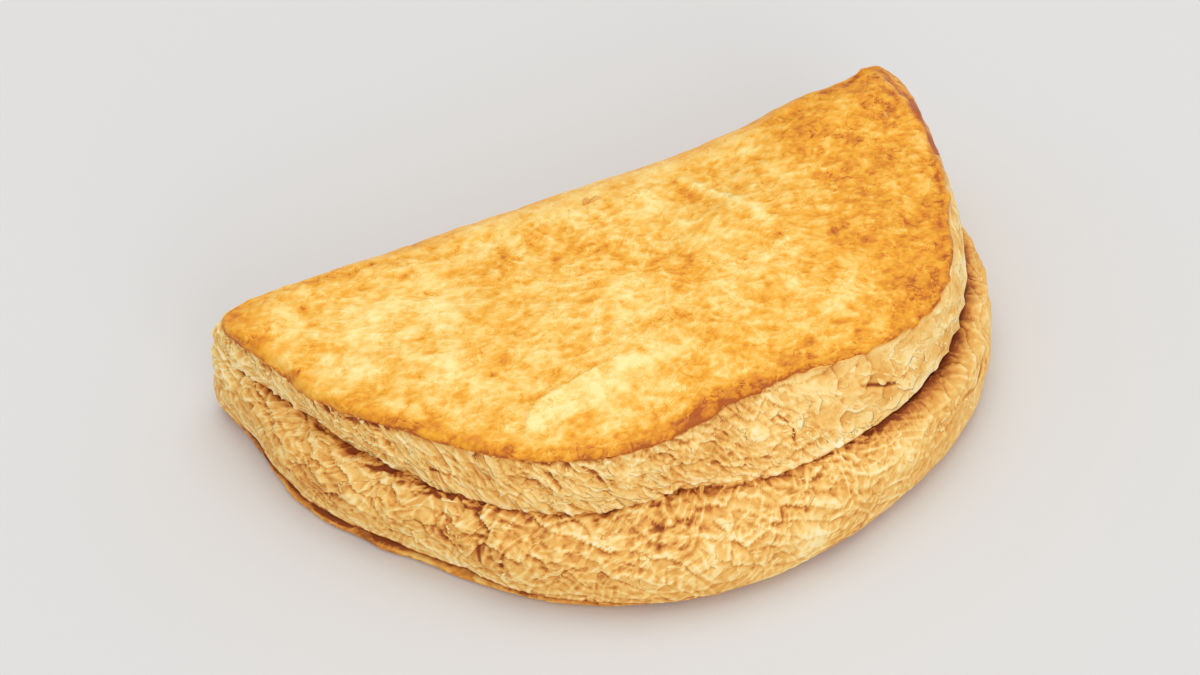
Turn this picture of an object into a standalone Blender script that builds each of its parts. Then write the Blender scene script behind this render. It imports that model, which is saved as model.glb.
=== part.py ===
# A cheese pie: a disc of puff pastry folded over its filling, so its plan is a half moon.
# The straight back is the fold. Round the curved front the two cut leaves show, one above the
# other, with a dark seam between them, and the upper leaf lies a little further in.
# Metres, +Z up. The origin is under the middle of the pie, on the plane that it rests on.
# X runs along the fold, and the curved front faces -Y.

import bpy
import bmesh
import numpy as np

MM = 0.001

# Plan, measured from the centre of the disc of dough. The heart is the point that all sections
# run towards.
DISC_RADIUS = 80 * MM
FOLD_BACK = 15.5 * MM
HEART_BACK = -25 * MM
CORNER_SHARPNESS = 17
LEAST_FACING = 0.3
LEAST_BACK = 0.01
CUT_SIDE_STARTS = FOLD_BACK - 1.5 * MM
CUT_SIDE_FULL = FOLD_BACK - 12 * MM

# Unevenness round the front. Each feature is an amount, its bearing and its half-width; bearings
# are degrees seen from the disc's centre, 0 at the middle of the front and negative to the left.
EDGE_SWELLS = (
    (3.4 * MM, -101, 14),
    (1.2 * MM, -78, 8),
    (-2.8 * MM, -53, 14),
    (-1.3 * MM, 17, 16),
    (0.7 * MM, 44, 12),
    (-4 * MM, 82, 13),
)
SEAM_INSET = 8.6 * MM
SEAM_INSET_SLOPE = -0.033 * MM
SEAM_FEATURES = (
    (6 * MM, -13, 16),
    (2.5 * MM, 15, 16),
)
SEAM_END_START = 78
SEAM_END = 98
SEAM_END_SHARE = 0.3
RIM_INSET = 11.2 * MM
RIM_FEATURES = (
    (10.5 * MM, 2, 25),
    (2 * MM, -34, 18),
    (1.5 * MM, 18, 8),
    (-3.5 * MM, 45, 11),
)
RIM_LEFT_ENDS = ((-4 * MM, -60, -84), (-8 * MM, -84, -100))
RIM_RIGHT_ENDS = ((-6 * MM, 80, 100),)

# Top surface: a low dome that rises to the right and is lifted at the fold's two ends
CROWN_HEIGHT = 36.5 * MM
CROWN_BACK = -22 * MM
CROWN_RISE_TO_RIGHT = 3.5 * MM
CROWN_DROP = 8 * MM
CROWN_HALF_LENGTH = 84 * MM
CROWN_HALF_DEPTH = 46 * MM
CROWN_POWER = 2.2
CROWN_SQUARENESS = 2.5
END_LIFT = 3.6 * MM
END_LIFT_ALONG = (25 * MM, 74 * MM)
END_LIFT_ACROSS = (-16 * MM, 8 * MM)
RIGHT_DROOP = 6 * MM
RIGHT_DROOP_ALONG = (66 * MM, 80 * MM)
RIGHT_DROOP_ACROSS = (-22 * MM, 0)

# Blisters and hollows of the top: height, centre across and back, half-widths across and back
TOP_BLISTERS = (
    (1.0 * MM, 65 * MM, 10 * MM, 7 * MM, 7 * MM),
    (1.2 * MM, 46 * MM, 8 * MM, 16 * MM, 12 * MM),
    (1.2 * MM, -12 * MM, -45 * MM, 13 * MM, 9 * MM),
    (0.8 * MM, -48 * MM, -22 * MM, 12 * MM, 10 * MM),
    (-0.9 * MM, 22 * MM, -8 * MM, 16 * MM, 9 * MM),
)

# Lower leaf
FOOT_INSET = 5 * MM
FOOT_HEIGHT = 5 * MM
SEAM_HEIGHT = 16.5 * MM
LEDGE_ROUNDNESS = 2.6
LEFT_UNDERCUT = ((1.8 * MM, -90, 13),)
LOWEST_LEAF = 0.3 * MM
PEEL_HEIGHT = 3.2 * MM
PEEL_HALF_GAP = 0.9 * MM
PEEL_DEPTH = 1.6 * MM
PEEL_FROM = (-88, -76)
PEEL_TO = (-12, -28)

# Seam between the leaves
SEAM_DEPTH = 7 * MM
SEAM_GAP = 1.6 * MM
SEAM_GAP_RIGHT = 3.2 * MM
SEAM_WIDENS = (15, 60)

# Upper leaf
RIM_RADIUS = 1.6 * MM
SIDE_BELLY = 0.8 * MM
SIDE_OVERHANG = 0.3 * MM

# Fold: its section rises upright, then rolls over onto the top. The shares say how far along that
# section the seam and the rim of the cut side run out.
FOLD_SPRING = 12 * MM
FOLD_ROLL = 18 * MM
FOLD_ROLL_AT_ENDS = 6 * MM
FOLD_UPRIGHT_SHARE = 0.22
FOLD_SHARE_BELOW_SEAM = 0.45
FOLD_SHARE_ABOVE_SEAM = 0.55
FOLD_SHARE_AT_RIM = 0.88

# Crags of the cut side, and the gentler lumps of the fold and the top
CRAG_LENGTH = 7 * MM
CRAG_HEIGHT = 4 * MM
CRAG_DEPTH = 1.5 * MM
CRAG_LEAN = 0.6
SCALE_SHARE = 0.75
LUMP_SHARE = 0.6
LUMP_STRETCH = 2
TOP_LUMP_SIZE = 9 * MM
TOP_LUMP_DEPTH = 0.5 * MM
FOLD_LUMP_SIZE = 16 * MM
FOLD_LUMP_DEPTH = 0.7 * MM
NOISE_OFFSET = 40

# Finish
PASTRY_COLOUR = (0.80, 0.49, 0.17, 1)
PASTRY_ROUGHNESS = 0.5

# Mesh: columns round the plan, rows from the underside's middle to the top's middle
COLUMNS = 132
CUT_SIDE_DENSITY = 2.2
PLAN_SAMPLES = 6001
TURN_STEP = 1e-4
ROWS_UNDERSIDE = 1
ROWS_FOOT = 4
ROWS_LEDGE = 8
ROWS_SEAM = 5
ROWS_SIDE = 6
ROWS_RIM = 2
ROWS_TOP = 9
SEED = 11
NOISE_CELLS = 97


def clear_scene():
    """Remove every object that the file opened with."""
    for thing in list(bpy.data.objects):
        bpy.data.objects.remove(thing, do_unlink=True)


def bell(x, centre, width):
    """A smooth bump of height 1 at centre, that has faded at about twice the width."""
    return np.exp(-((x - centre) / width) ** 2)


def ease(x, start, end):
    """0 at start and 1 at end, smooth at both."""
    t = np.clip((x - start) / (end - start), 0, 1)
    return t * t * (3 - 2 * t)


def lerp(a, b, share):
    """The value at share of the way from a to b."""
    return a + (b - a) * share


def features(bearing, table):
    """The sum of a table's bells at each bearing."""
    return sum(amount * bell(bearing, centre, width) for amount, centre, width in table)


def ramps(bearing, table):
    """The sum of a table's eased steps at each bearing."""
    return sum(amount * ease(bearing, start, end) for amount, start, end in table)


def lattice_noise(u, v, seed):
    """Smooth noise of -1 to 1 over a plane, one random value per unit square."""
    values = np.random.default_rng(seed).uniform(-1, 1, (NOISE_CELLS, NOISE_CELLS))
    column = np.floor(u).astype(int)
    row = np.floor(v).astype(int)
    fu = ease(u - column, 0, 1)
    fv = ease(v - row, 0, 1)
    left = column % NOISE_CELLS
    right = (column + 1) % NOISE_CELLS
    under = row % NOISE_CELLS
    over = (row + 1) % NOISE_CELLS
    low = lerp(values[left, under], values[right, under], fu)
    high = lerp(values[left, over], values[right, over], fu)
    return lerp(low, high, fv)


def foot_line(turn):
    """Plan of the widest line: the disc's arc cut off by the fold, seen from the heart at angle turn."""
    across = np.sin(turn)
    back = -np.cos(turn)
    along = HEART_BACK * back
    to_arc = -along + np.sqrt(along ** 2 - HEART_BACK ** 2 + DISC_RADIUS ** 2)
    to_fold = (FOLD_BACK - HEART_BACK) / np.maximum(back, LEAST_BACK)
    power = -CORNER_SHARPNESS
    reach = (to_arc ** power + to_fold ** power) ** (1 / power)
    x = reach * across
    y = HEART_BACK + reach * back
    bearing = np.arctan2(x, -y)
    out = features(np.degrees(bearing), EDGE_SWELLS)
    return x + out * np.sin(bearing), y - out * np.cos(bearing)


def crown(x, y):
    """Height of the top at a plan point, with its blisters and hollows."""
    along = np.abs(x / CROWN_HALF_LENGTH) ** CROWN_SQUARENESS
    across = np.abs((y - CROWN_BACK) / CROWN_HALF_DEPTH) ** CROWN_SQUARENESS
    spread = (along + across) ** (1 / CROWN_SQUARENESS)
    dome = CROWN_HEIGHT + CROWN_RISE_TO_RIGHT * x / DISC_RADIUS - CROWN_DROP * spread ** CROWN_POWER
    lift = END_LIFT * ease(np.abs(x), *END_LIFT_ALONG) * ease(y, *END_LIFT_ACROSS)
    droop = RIGHT_DROOP * ease(x, *RIGHT_DROOP_ALONG) * ease(y, *RIGHT_DROOP_ACROSS)
    blisters = sum(
        height * bell(x, centre_x, width_x) * bell(y, centre_y, width_y)
        for height, centre_x, centre_y, width_x, width_y in TOP_BLISTERS
    )
    return dome + lift - droop + blisters


def seam_inset(bearing):
    """How far in the seam opens; it runs out towards both ends of the fold."""
    steady = SEAM_INSET + SEAM_INSET_SLOPE * bearing + features(bearing, SEAM_FEATURES)
    share = lerp(1, SEAM_END_SHARE, ease(np.abs(bearing), SEAM_END_START, SEAM_END))
    return (steady + features(bearing, EDGE_SWELLS)) * share


def rim_inset(bearing):
    """How far in the upper leaf's top edge lies, deepest at the middle of the front."""
    ends = ramps(bearing, RIM_LEFT_ENDS) + ramps(bearing, RIM_RIGHT_ENDS)
    return RIM_INSET + features(bearing, RIM_FEATURES) + ends + features(bearing, EDGE_SWELLS)


def plan_columns():
    """Angles round the heart, spaced by arc length and closer together along the cut side."""
    turn = np.linspace(-np.pi, np.pi, PLAN_SAMPLES)
    x, y = foot_line(turn)
    middle = 0.5 * (y[1:] + y[:-1])
    weight = 1 + (CUT_SIDE_DENSITY - 1) * ease(middle, FOLD_BACK, CUT_SIDE_STARTS)
    length = np.hypot(np.diff(x), np.diff(y)) * weight
    run = np.concatenate([[0], np.cumsum(length)])
    return np.interp(np.linspace(0, run[-1], COLUMNS, endpoint=False), run, turn)


def body_grid(turn):
    """Points of the smooth body, rows by columns: insets towards the heart against heights."""
    foot_x, foot_y = foot_line(turn)
    ahead_x, ahead_y = foot_line(turn + TURN_STEP)
    behind_x, behind_y = foot_line(turn - TURN_STEP)
    tangent = np.hypot(ahead_x - behind_x, ahead_y - behind_y)
    normal_x = -(ahead_y - behind_y) / tangent
    normal_y = (ahead_x - behind_x) / tangent
    reach = np.hypot(foot_x, foot_y - HEART_BACK)
    inward_x = -foot_x / reach
    inward_y = (HEART_BACK - foot_y) / reach
    facing = np.maximum(np.abs(inward_x * normal_x + inward_y * normal_y), LEAST_FACING)
    bearing = np.degrees(np.arctan2(foot_x, -foot_y))
    cut = ease(foot_y, CUT_SIDE_STARTS, CUT_SIDE_FULL)

    seam = seam_inset(bearing)
    rim = rim_inset(bearing)
    gap = lerp(SEAM_GAP, SEAM_GAP_RIGHT, ease(bearing, *SEAM_WIDENS))
    undercut = features(bearing, LEFT_UNDERCUT)
    rim_x = foot_x + inward_x * (rim + RIM_RADIUS)
    rim_y = foot_y + inward_y * (rim + RIM_RADIUS)
    rim_top = crown(rim_x, rim_y)
    rim_side = rim_top - RIM_RADIUS
    roll = lerp(FOLD_ROLL, FOLD_ROLL_AT_ENDS, np.abs(foot_x / DISC_RADIUS) ** 3)
    roll_top = crown(foot_x + inward_x * roll / facing, foot_y + inward_y * roll / facing)

    def fold_point(share):
        """The fold's section: straight up to where it springs, then a quarter of an ellipse."""
        lift = np.clip(share / FOLD_UPRIGHT_SHARE, 0, 1)
        swing = np.clip((share - FOLD_UPRIGHT_SHARE) / (1 - FOLD_UPRIGHT_SHARE), 0, 1) * np.pi / 2
        height = lerp(FOOT_HEIGHT, FOLD_SPRING, lift) + (roll_top - FOLD_SPRING) * np.sin(swing)
        return roll * (1 - np.cos(swing)), height

    rows = []

    def add_row(cut_inset, cut_height, fold_inset, fold_height):
        """Blend the two sections, turn the inset towards the heart, and keep the row."""
        inset = lerp(fold_inset / facing, cut_inset, cut)
        rows.append((foot_x + inward_x * inset, foot_y + inward_y * inset, lerp(fold_height, cut_height, cut)))

    # Underside, flat
    for k in range(1, ROWS_UNDERSIDE + 1):
        inset = lerp(reach, FOOT_INSET, k / (ROWS_UNDERSIDE + 1))
        add_row(inset, 0, inset * facing, 0)
    # Foot: a quarter of an ellipse out to the widest line
    for k in range(ROWS_FOOT):
        swing = k / ROWS_FOOT * np.pi / 2
        inset = FOOT_INSET * (1 - np.sin(swing))
        height = FOOT_HEIGHT * (1 - np.cos(swing))
        add_row(inset + undercut, height, inset, height)
    # Ledge of the lower leaf: a quarter of a blunt ellipse up to the seam's lip
    for k in range(ROWS_LEDGE):
        share = k / ROWS_LEDGE
        swing = share * np.pi / 2
        blunt = 2 / LEDGE_ROUNDNESS
        lift = np.sin(swing) ** blunt
        inset = seam * (1 - np.cos(swing) ** blunt) + undercut * (1 - share)
        height = lerp(FOOT_HEIGHT, SEAM_HEIGHT, lift)
        add_row(inset, height, *fold_point(FOLD_SHARE_BELOW_SEAM * share))
    # Seam: in to its bottom and out again, the gap higher
    for k in range(ROWS_SEAM):
        share = k / ROWS_SEAM
        inset = seam + SEAM_DEPTH * np.sin(np.pi * share)
        height = SEAM_HEIGHT + gap * share
        add_row(inset, height, *fold_point(lerp(FOLD_SHARE_BELOW_SEAM, FOLD_SHARE_ABOVE_SEAM, share)))
    # Side of the upper leaf, slightly bellied, up to the rim
    for k in range(ROWS_SIDE):
        share = k / ROWS_SIDE
        inset = lerp(seam - SIDE_OVERHANG, rim, share) - SIDE_BELLY * np.sin(np.pi * share)
        height = lerp(SEAM_HEIGHT + gap, rim_side, share)
        add_row(inset, height, *fold_point(lerp(FOLD_SHARE_ABOVE_SEAM, FOLD_SHARE_AT_RIM, share)))
    # Rim: a quarter turn onto the top
    for k in range(ROWS_RIM):
        share = k / ROWS_RIM
        swing = share * np.pi / 2
        inset = rim + RIM_RADIUS * (1 - np.cos(swing))
        height = rim_side + RIM_RADIUS * np.sin(swing)
        add_row(inset, height, *fold_point(lerp(FOLD_SHARE_AT_RIM, 1, share)))
    # Top, following the crown towards the heart
    start = lerp(roll / facing, rim + RIM_RADIUS, cut)
    for k in range(ROWS_TOP):
        inset = lerp(start, reach, k / ROWS_TOP)
        x = foot_x + inward_x * inset
        y = foot_y + inward_y * inset
        rows.append((x, y, crown(x, y)))

    grid = np.array([np.broadcast_arrays(*row) for row in rows])
    return grid.transpose(0, 2, 1), cut, bearing


def surface_normals(grid):
    """Outward normals of the grid, whose columns close round on themselves."""
    round_step = np.roll(grid, -1, axis=1) - np.roll(grid, 1, axis=1)
    up_step = np.gradient(grid, axis=0)
    normal = np.cross(round_step, up_step)
    return normal / np.maximum(np.linalg.norm(normal, axis=2, keepdims=True), 1e-12)


def row_weights():
    """How craggy each row is on the cut side: full on the leaves, little inside the seam."""
    underside = [0] * ROWS_UNDERSIDE
    foot = [0] + [0.6] * (ROWS_FOOT - 1)
    ledge = [1] * ROWS_LEDGE
    seam = [0.4] + [0.1] * (ROWS_SEAM - 1)
    side = [0.4] + [0.9] * (ROWS_SIDE - 1)
    rim = [0.6] + [0.3] * (ROWS_RIM - 1)
    top = [0] * ROWS_TOP
    return np.array(underside + foot + ledge + seam + side + rim + top)[:, None]


def add_relief(grid, cut, bearing):
    """Crags like overlapping scales on the cut side, a peel along its left foot, lumps elsewhere."""
    x = grid[:, :, 0]
    y = grid[:, :, 1]
    z = grid[:, :, 2]
    u = np.radians(bearing)[None, :] * DISC_RADIUS / CRAG_LENGTH + NOISE_OFFSET
    v = z / CRAG_HEIGHT
    scales = 1 - 2 * np.abs(lattice_noise(u + CRAG_LEAN * v, v, SEED))
    lumps = lattice_noise(u / LUMP_STRETCH, v / LUMP_STRETCH, SEED + 1)
    crags = CRAG_DEPTH * (SCALE_SHARE * scales + LUMP_SHARE * lumps) * row_weights() * cut

    on_leaf = row_weights() > 0.5
    peel_side = ease(bearing, *PEEL_FROM) * ease(bearing, *PEEL_TO)
    peel = PEEL_DEPTH * bell(z, PEEL_HEIGHT, PEEL_HALF_GAP) * peel_side * on_leaf

    on_top = np.zeros((len(grid), 1))
    on_top[1 - ROWS_TOP:] = 1
    top_noise = lattice_noise(x / TOP_LUMP_SIZE + NOISE_OFFSET, y / TOP_LUMP_SIZE + NOISE_OFFSET, SEED + 2)
    fold_noise = lattice_noise(x / FOLD_LUMP_SIZE + NOISE_OFFSET, z / FOLD_LUMP_SIZE, SEED + 3)
    gentle = TOP_LUMP_DEPTH * top_noise * on_top + FOLD_LUMP_DEPTH * fold_noise * (1 - on_top) * (1 - cut)

    moved = grid + surface_normals(grid) * (crags - peel + gentle)[:, :, None]
    moved[:, :, 2] = np.where(z > 0, np.maximum(moved[:, :, 2], LOWEST_LEAF), 0)
    return moved


def close_body(grid, under_pole, top_pole):
    """A mesh from the grid: quads split in two between rows, and a fan at each pole."""
    mesh = bpy.data.meshes.new("cheese_pie")
    body = bmesh.new()
    rings = [[body.verts.new(point) for point in row] for row in grid]
    under = body.verts.new(under_pole)
    top = body.verts.new(top_pole)
    for lower, upper in zip(rings, rings[1:]):
        for k in range(COLUMNS):
            after = (k + 1) % COLUMNS
            body.faces.new((lower[k], lower[after], upper[after], upper[k]))
    for k in range(COLUMNS):
        after = (k + 1) % COLUMNS
        body.faces.new((under, rings[0][after], rings[0][k]))
        body.faces.new((top, rings[-1][k], rings[-1][after]))
    bmesh.ops.triangulate(body, faces=body.faces)
    bmesh.ops.recalc_face_normals(body, faces=body.faces)
    body.to_mesh(mesh)
    body.free()
    mesh.shade_smooth()
    return mesh


def baked_pastry():
    """Golden baked pastry, slightly glossy."""
    material = bpy.data.materials.new("baked_pastry")
    material.use_nodes = True
    shader = material.node_tree.nodes["Principled BSDF"]
    shader.inputs["Base Color"].default_value = PASTRY_COLOUR
    shader.inputs["Roughness"].default_value = PASTRY_ROUGHNESS
    shader.inputs["Metallic"].default_value = 0
    return material


def build_pie():
    """The whole pie as one solid, standing on its flat underside in the middle of the frame."""
    grid, cut, bearing = body_grid(plan_columns())
    grid = add_relief(grid, cut, bearing)
    low = grid.reshape(-1, 3).min(axis=0)
    high = grid.reshape(-1, 3).max(axis=0)
    shift = np.array([-(low[0] + high[0]) / 2, -(low[1] + high[1]) / 2, 0])
    heart = np.array([0, HEART_BACK, 0])
    under_pole = heart + shift
    top_pole = heart + shift + [0, 0, crown(0, HEART_BACK)]
    mesh = close_body(grid + shift, under_pole, top_pole)
    mesh.materials.append(baked_pastry())
    pie = bpy.data.objects.new("cheese_pie", mesh)
    bpy.context.scene.collection.objects.link(pie)
    return pie


clear_scene()
build_pie()
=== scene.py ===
import math

import bpy
import numpy as np
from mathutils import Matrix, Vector


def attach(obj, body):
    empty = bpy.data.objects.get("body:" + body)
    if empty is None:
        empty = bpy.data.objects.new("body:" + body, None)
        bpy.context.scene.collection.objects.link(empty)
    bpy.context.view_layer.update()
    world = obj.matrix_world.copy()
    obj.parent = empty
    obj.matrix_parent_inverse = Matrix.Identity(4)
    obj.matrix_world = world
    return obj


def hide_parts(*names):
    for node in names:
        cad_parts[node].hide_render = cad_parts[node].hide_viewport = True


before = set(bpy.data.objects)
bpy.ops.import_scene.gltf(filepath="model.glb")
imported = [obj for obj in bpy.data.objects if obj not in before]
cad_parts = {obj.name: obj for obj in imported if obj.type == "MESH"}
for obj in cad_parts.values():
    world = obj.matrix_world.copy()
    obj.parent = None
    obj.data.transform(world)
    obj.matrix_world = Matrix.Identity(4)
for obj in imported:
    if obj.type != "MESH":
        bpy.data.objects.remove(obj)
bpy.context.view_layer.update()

# A half-moon cheese pie of puff pastry. Lengths are millimetres until a mesh is made. Points are
# worked out from the centre of the disc of dough: x along the fold, the curved front at -y, z up.
mm = 0.001

plan = {
    "discCentre": (1.477, 31.818, 0),    # where the centre of the disc lies in the frame
    "discRadius": 80,
    "foldBack": 15.5,
    "heartBack": -25,                    # the heart is the point that all sections run towards
    "cornerSharpness": 17,
    "cutStarts": 14,                     # the cut side fades in between these two distances back
    "cutFull": 3.5,
    "leftTear": (63, 77),                # there the skin's edge climbs from the foot to the rim
    "leftDense": (57, 62),               # columns lie closer together from there to the left tip
    "leftCorner": (64, 72),              # how far left the flaky face reaches round onto the fold
    # amount, bearing in degrees (0 at the middle of the front, negative to the left), half-width
    "swells": ((3.4, -101, 14), (1.2, -78, 8), (-2.8, -53, 14), (-1.3, 17, 16), (0.7, 44, 12),
               (-4, 82, 13)),
    "seamInset": (8.6, -0.033),          # at the middle of the front, and for each degree
    "seamFeatures": ((6, -13, 16), (2.5, 15, 16), (-1.8, -82, 12), (1.2, 70, 10)),
    "seamEnd": (78, 98, 0.3),            # bearings where the seam runs out, and the share left there
    "rimInset": 11.2,
    "rimFeatures": ((10.5, 2, 25), (2, -34, 18), (1.5, 18, 8), (-3.5, 45, 11)),
    "rimRamps": ((-4, -60, -84), (-8, -84, -100), (-6, 80, 100)),
    "undercut": ((1.8, -90, 13),),
    "columnsSampled": 6001, "turnStep": 1e-4, "leastFacing": 0.3,
}

dome = {
    "height": 36.5, "back": -22, "riseToRight": 3.5, "drop": 8,
    "halfLength": 84, "halfDepth": 46, "power": 2.2, "squareness": 2.5,
    "endLift": 3.6, "endLiftAlong": (25, 74), "endLiftAcross": (-16, 8),
    "droop": 6, "droopAlong": (66, 80), "droopAcross": (-22, 0),
    # height, centre across and back, half-widths across and back
    "blisters": ((1, 65, 10, 7, 7), (1.2, 46, 8, 16, 12), (1.2, -12, -45, 13, 9), (0.8, -48, -22, 12, 10),
                 (-0.9, 22, -8, 16, 9), (-1.6, 52, 9, 14, 6), (-1.4, 72, 4, 5, 7)),
}

section = {
    "footInset": 5, "footHeight": 5, "seamHeight": 16.5, "ledgeRoundness": 2.6, "ledgeSamples": 2001,
    "seamGap": (0.7, 2.3), "seamWidens": (8, 46), "seamDepth": 9,
    "gapFeatures": ((0.5, -62, 7), (0.4, -79, 5), (0.25, -32, 10), (0.8, -12, 10), (0.6, 8, 10),
                    (-0.6, -106, 9)),
    "rimRadius": 2.0, "belly": 0.8, "overhang": 0.3, "lipRaise": 1.0,
    # shares of the fold's section at which it turns over, the seam closes, and the rim begins
    "foldSpring": 12, "foldRoll": (18, 6), "foldShares": (0.22, 0.498, 0.502, 0.88),
}

relief = {
    "cragLength": 7, "cragHeight": 4, "cragDepth": 1.5, "cragLean": 0.6,
    "scaleShare": 0.75, "lumpShare": 0.6,
    "topLump": (9, 0.5), "foldLump": (16, 0.7),    # size and depth
    "offset": 40, "seed": 11, "cells": 97, "octaveShifts": (17.3, 5.1), "jitter": 0.85,
    "cragKept": 0.45, "detailKept": 0.55, "pitDepth": 0.7, "least": 0.3,
    # the peeled bottom layer: bearings where it runs, and how far each level moves inwards
    "peel": (-98, -86, -50, -16),
    "peelLevels": (0, 0.2, 0.35, 0.5, 0.58, 0.62, 0.7, 0.74, 0.9, 1.1, 1.3, 1.5),
    "peelInsets": (0, -1.4, -0.5, 0.2, 0.5, 2.4, 2.8, 1.5, 1.6, 1.3, 0.6, 0),
}


# bell: exp(-((x - centre) / width)^2)
def bell(x, centre, width):
    return np.exp(-((x - centre) / width) ** 2)


# ease: 3t^2 - 2t^3, where t runs from 0 at start to 1 at end
def ease(x, start, end):
    t = np.clip((x - start) / (end - start), 0, 1)
    return t * t * (3 - 2 * t)


# straight blend: a + (b - a) * share
def lerp(a, b, share):
    return a + (b - a) * share


# window: 1 between the two middle bearings, fading to 0 at the outer two
def window(bearing, rises, full, holds, falls):
    return ease(bearing, rises, full) * (1 - ease(bearing, holds, falls))


# sum of bells, each an amount, a bearing and a half-width
def bellSum(bearing, table):
    return sum(amount * bell(bearing, centre, width) for amount, centre, width in table)


# value noise: random corner values of a square lattice, eased between the corners
def latticeNoise(u, v, seed):
    cells = relief["cells"]
    values = np.random.default_rng(seed).uniform(-1, 1, (cells, cells))
    column = np.floor(u).astype(int)
    row = np.floor(v).astype(int)
    fu = ease(u - column, 0, 1)
    fv = ease(v - row, 0, 1)
    left = column % cells
    right = (column + 1) % cells
    under = row % cells
    over = (row + 1) % cells
    low = lerp(values[left, under], values[right, under], fu)
    high = lerp(values[left, over], values[right, over], fu)
    return lerp(low, high, fv)


# cloud: octaves of value noise, each half as large and as high as the last
def cloud(u, v, seed, octaves=3):
    shiftU, shiftV = relief["octaveShifts"]
    total = 0
    size = 1
    for octave in range(octaves):
        noise = latticeNoise(u / size + shiftU * octave, v / size + shiftV * octave, seed + octave)
        total = total + size * noise
        size = size / 2
    return total


# jittered cells: one random point per unit square. Gives the offset to the nearest point, how much
# farther the second nearest is, and two random values of the nearest one's cell.
def cellField(u, v, seed):
    cells = relief["cells"]
    jitter = relief["jitter"]
    table = np.random.default_rng(seed).uniform(0, 1, (cells, cells, 4))
    column = np.floor(u).astype(int)
    row = np.floor(v).astype(int)
    best = np.full(np.shape(u), 9.0)    # farther than any neighbour
    second = best.copy()
    offU = np.zeros_like(best)
    offV = np.zeros_like(best)
    chance = np.zeros(np.shape(u) + (2,))
    for i in (-1, 0, 1):
        for j in (-1, 0, 1):
            entry = table[(column + i) % cells, (row + j) % cells]
            du = u - (column + i + 0.5 + jitter * (entry[..., 0] - 0.5))
            dv = v - (row + j + 0.5 + jitter * (entry[..., 1] - 0.5))
            distance = np.hypot(du, dv)
            closer = distance < best
            second = np.where(closer, best, np.minimum(second, distance))
            best = np.where(closer, distance, best)
            offU = np.where(closer, du, offU)
            offV = np.where(closer, dv, offV)
            chance = np.where(closer[..., None], entry[..., 2:], chance)
    return offU, offV, second - best, chance


# plan of the widest line: an arc and the straight fold, joined as 1 / (arc^-n + fold^-n)^(1/n)
def footLine(turn):
    across = np.sin(turn)
    back = -np.cos(turn)
    heart = plan["heartBack"]
    along = heart * back
    toArc = -along + np.sqrt(along ** 2 - heart ** 2 + plan["discRadius"] ** 2)
    toFold = (plan["foldBack"] - heart) / np.maximum(back, 0.01)
    power = -plan["cornerSharpness"]
    reach = (toArc ** power + toFold ** power) ** (1 / power)
    x = reach * across
    y = heart + reach * back
    bearing = np.arctan2(x, -y)
    out = bellSum(np.degrees(bearing), plan["swells"])
    return x + out * np.sin(bearing), y - out * np.cos(bearing)


# height of the top: a superellipse dome, height - drop * (|x/a|^n + |y/b|^n)^(power/n), with lifted ends,
# a drooping right corner and blisters
def crown(x, y):
    along = np.abs(x / dome["halfLength"]) ** dome["squareness"]
    across = np.abs((y - dome["back"]) / dome["halfDepth"]) ** dome["squareness"]
    spread = (along + across) ** (1 / dome["squareness"])
    height = dome["height"] + dome["riseToRight"] * x / plan["discRadius"]
    height = height - dome["drop"] * spread ** dome["power"]
    lifted = dome["endLift"] * ease(np.abs(x), *dome["endLiftAlong"]) * ease(y, *dome["endLiftAcross"])
    drooped = dome["droop"] * ease(x, *dome["droopAlong"]) * ease(y, *dome["droopAcross"])
    height = height + lifted - drooped
    for lift, centreX, centreY, widthX, widthY in dome["blisters"]:
        height = height + lift * bell(x, centreX, widthX) * bell(y, centreY, widthY)
    return height


# inset of the seam's mouth: a straight line in the bearing plus bells, running out at both ends
def seamInset(bearing):
    steady = plan["seamInset"][0] + plan["seamInset"][1] * bearing + bellSum(bearing, plan["seamFeatures"])
    start, end, least = plan["seamEnd"]
    share = lerp(1, least, ease(np.abs(bearing), start, end))
    return (steady + bellSum(bearing, plan["swells"])) * share


# inset of the rim: a constant plus bells, and ramps towards both ends
def rimInset(bearing):
    inset = plan["rimInset"] + bellSum(bearing, plan["rimFeatures"])
    inset = inset + sum(amount * ease(bearing, start, end) for amount, start, end in plan["rimRamps"])
    return inset + bellSum(bearing, plan["swells"])


# angles round the heart, evenly spaced by length, closer together along the cut side
def turnsRound(count, cutDensity):
    turn = np.linspace(-np.pi, np.pi, plan["columnsSampled"])
    x, y = footLine(turn)
    middle = 0.5 * (y[1:] + y[:-1])
    flaky = np.maximum(ease(middle, plan["foldBack"], plan["cutStarts"]), ease(-x[1:], *plan["leftDense"]))
    weight = 1 + (cutDensity - 1) * flaky
    run = np.concatenate([[0], np.cumsum(np.hypot(np.diff(x), np.diff(y)) * weight)])
    return np.interp(np.linspace(0, run[-1], count, endpoint=False), run, turn)


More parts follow.
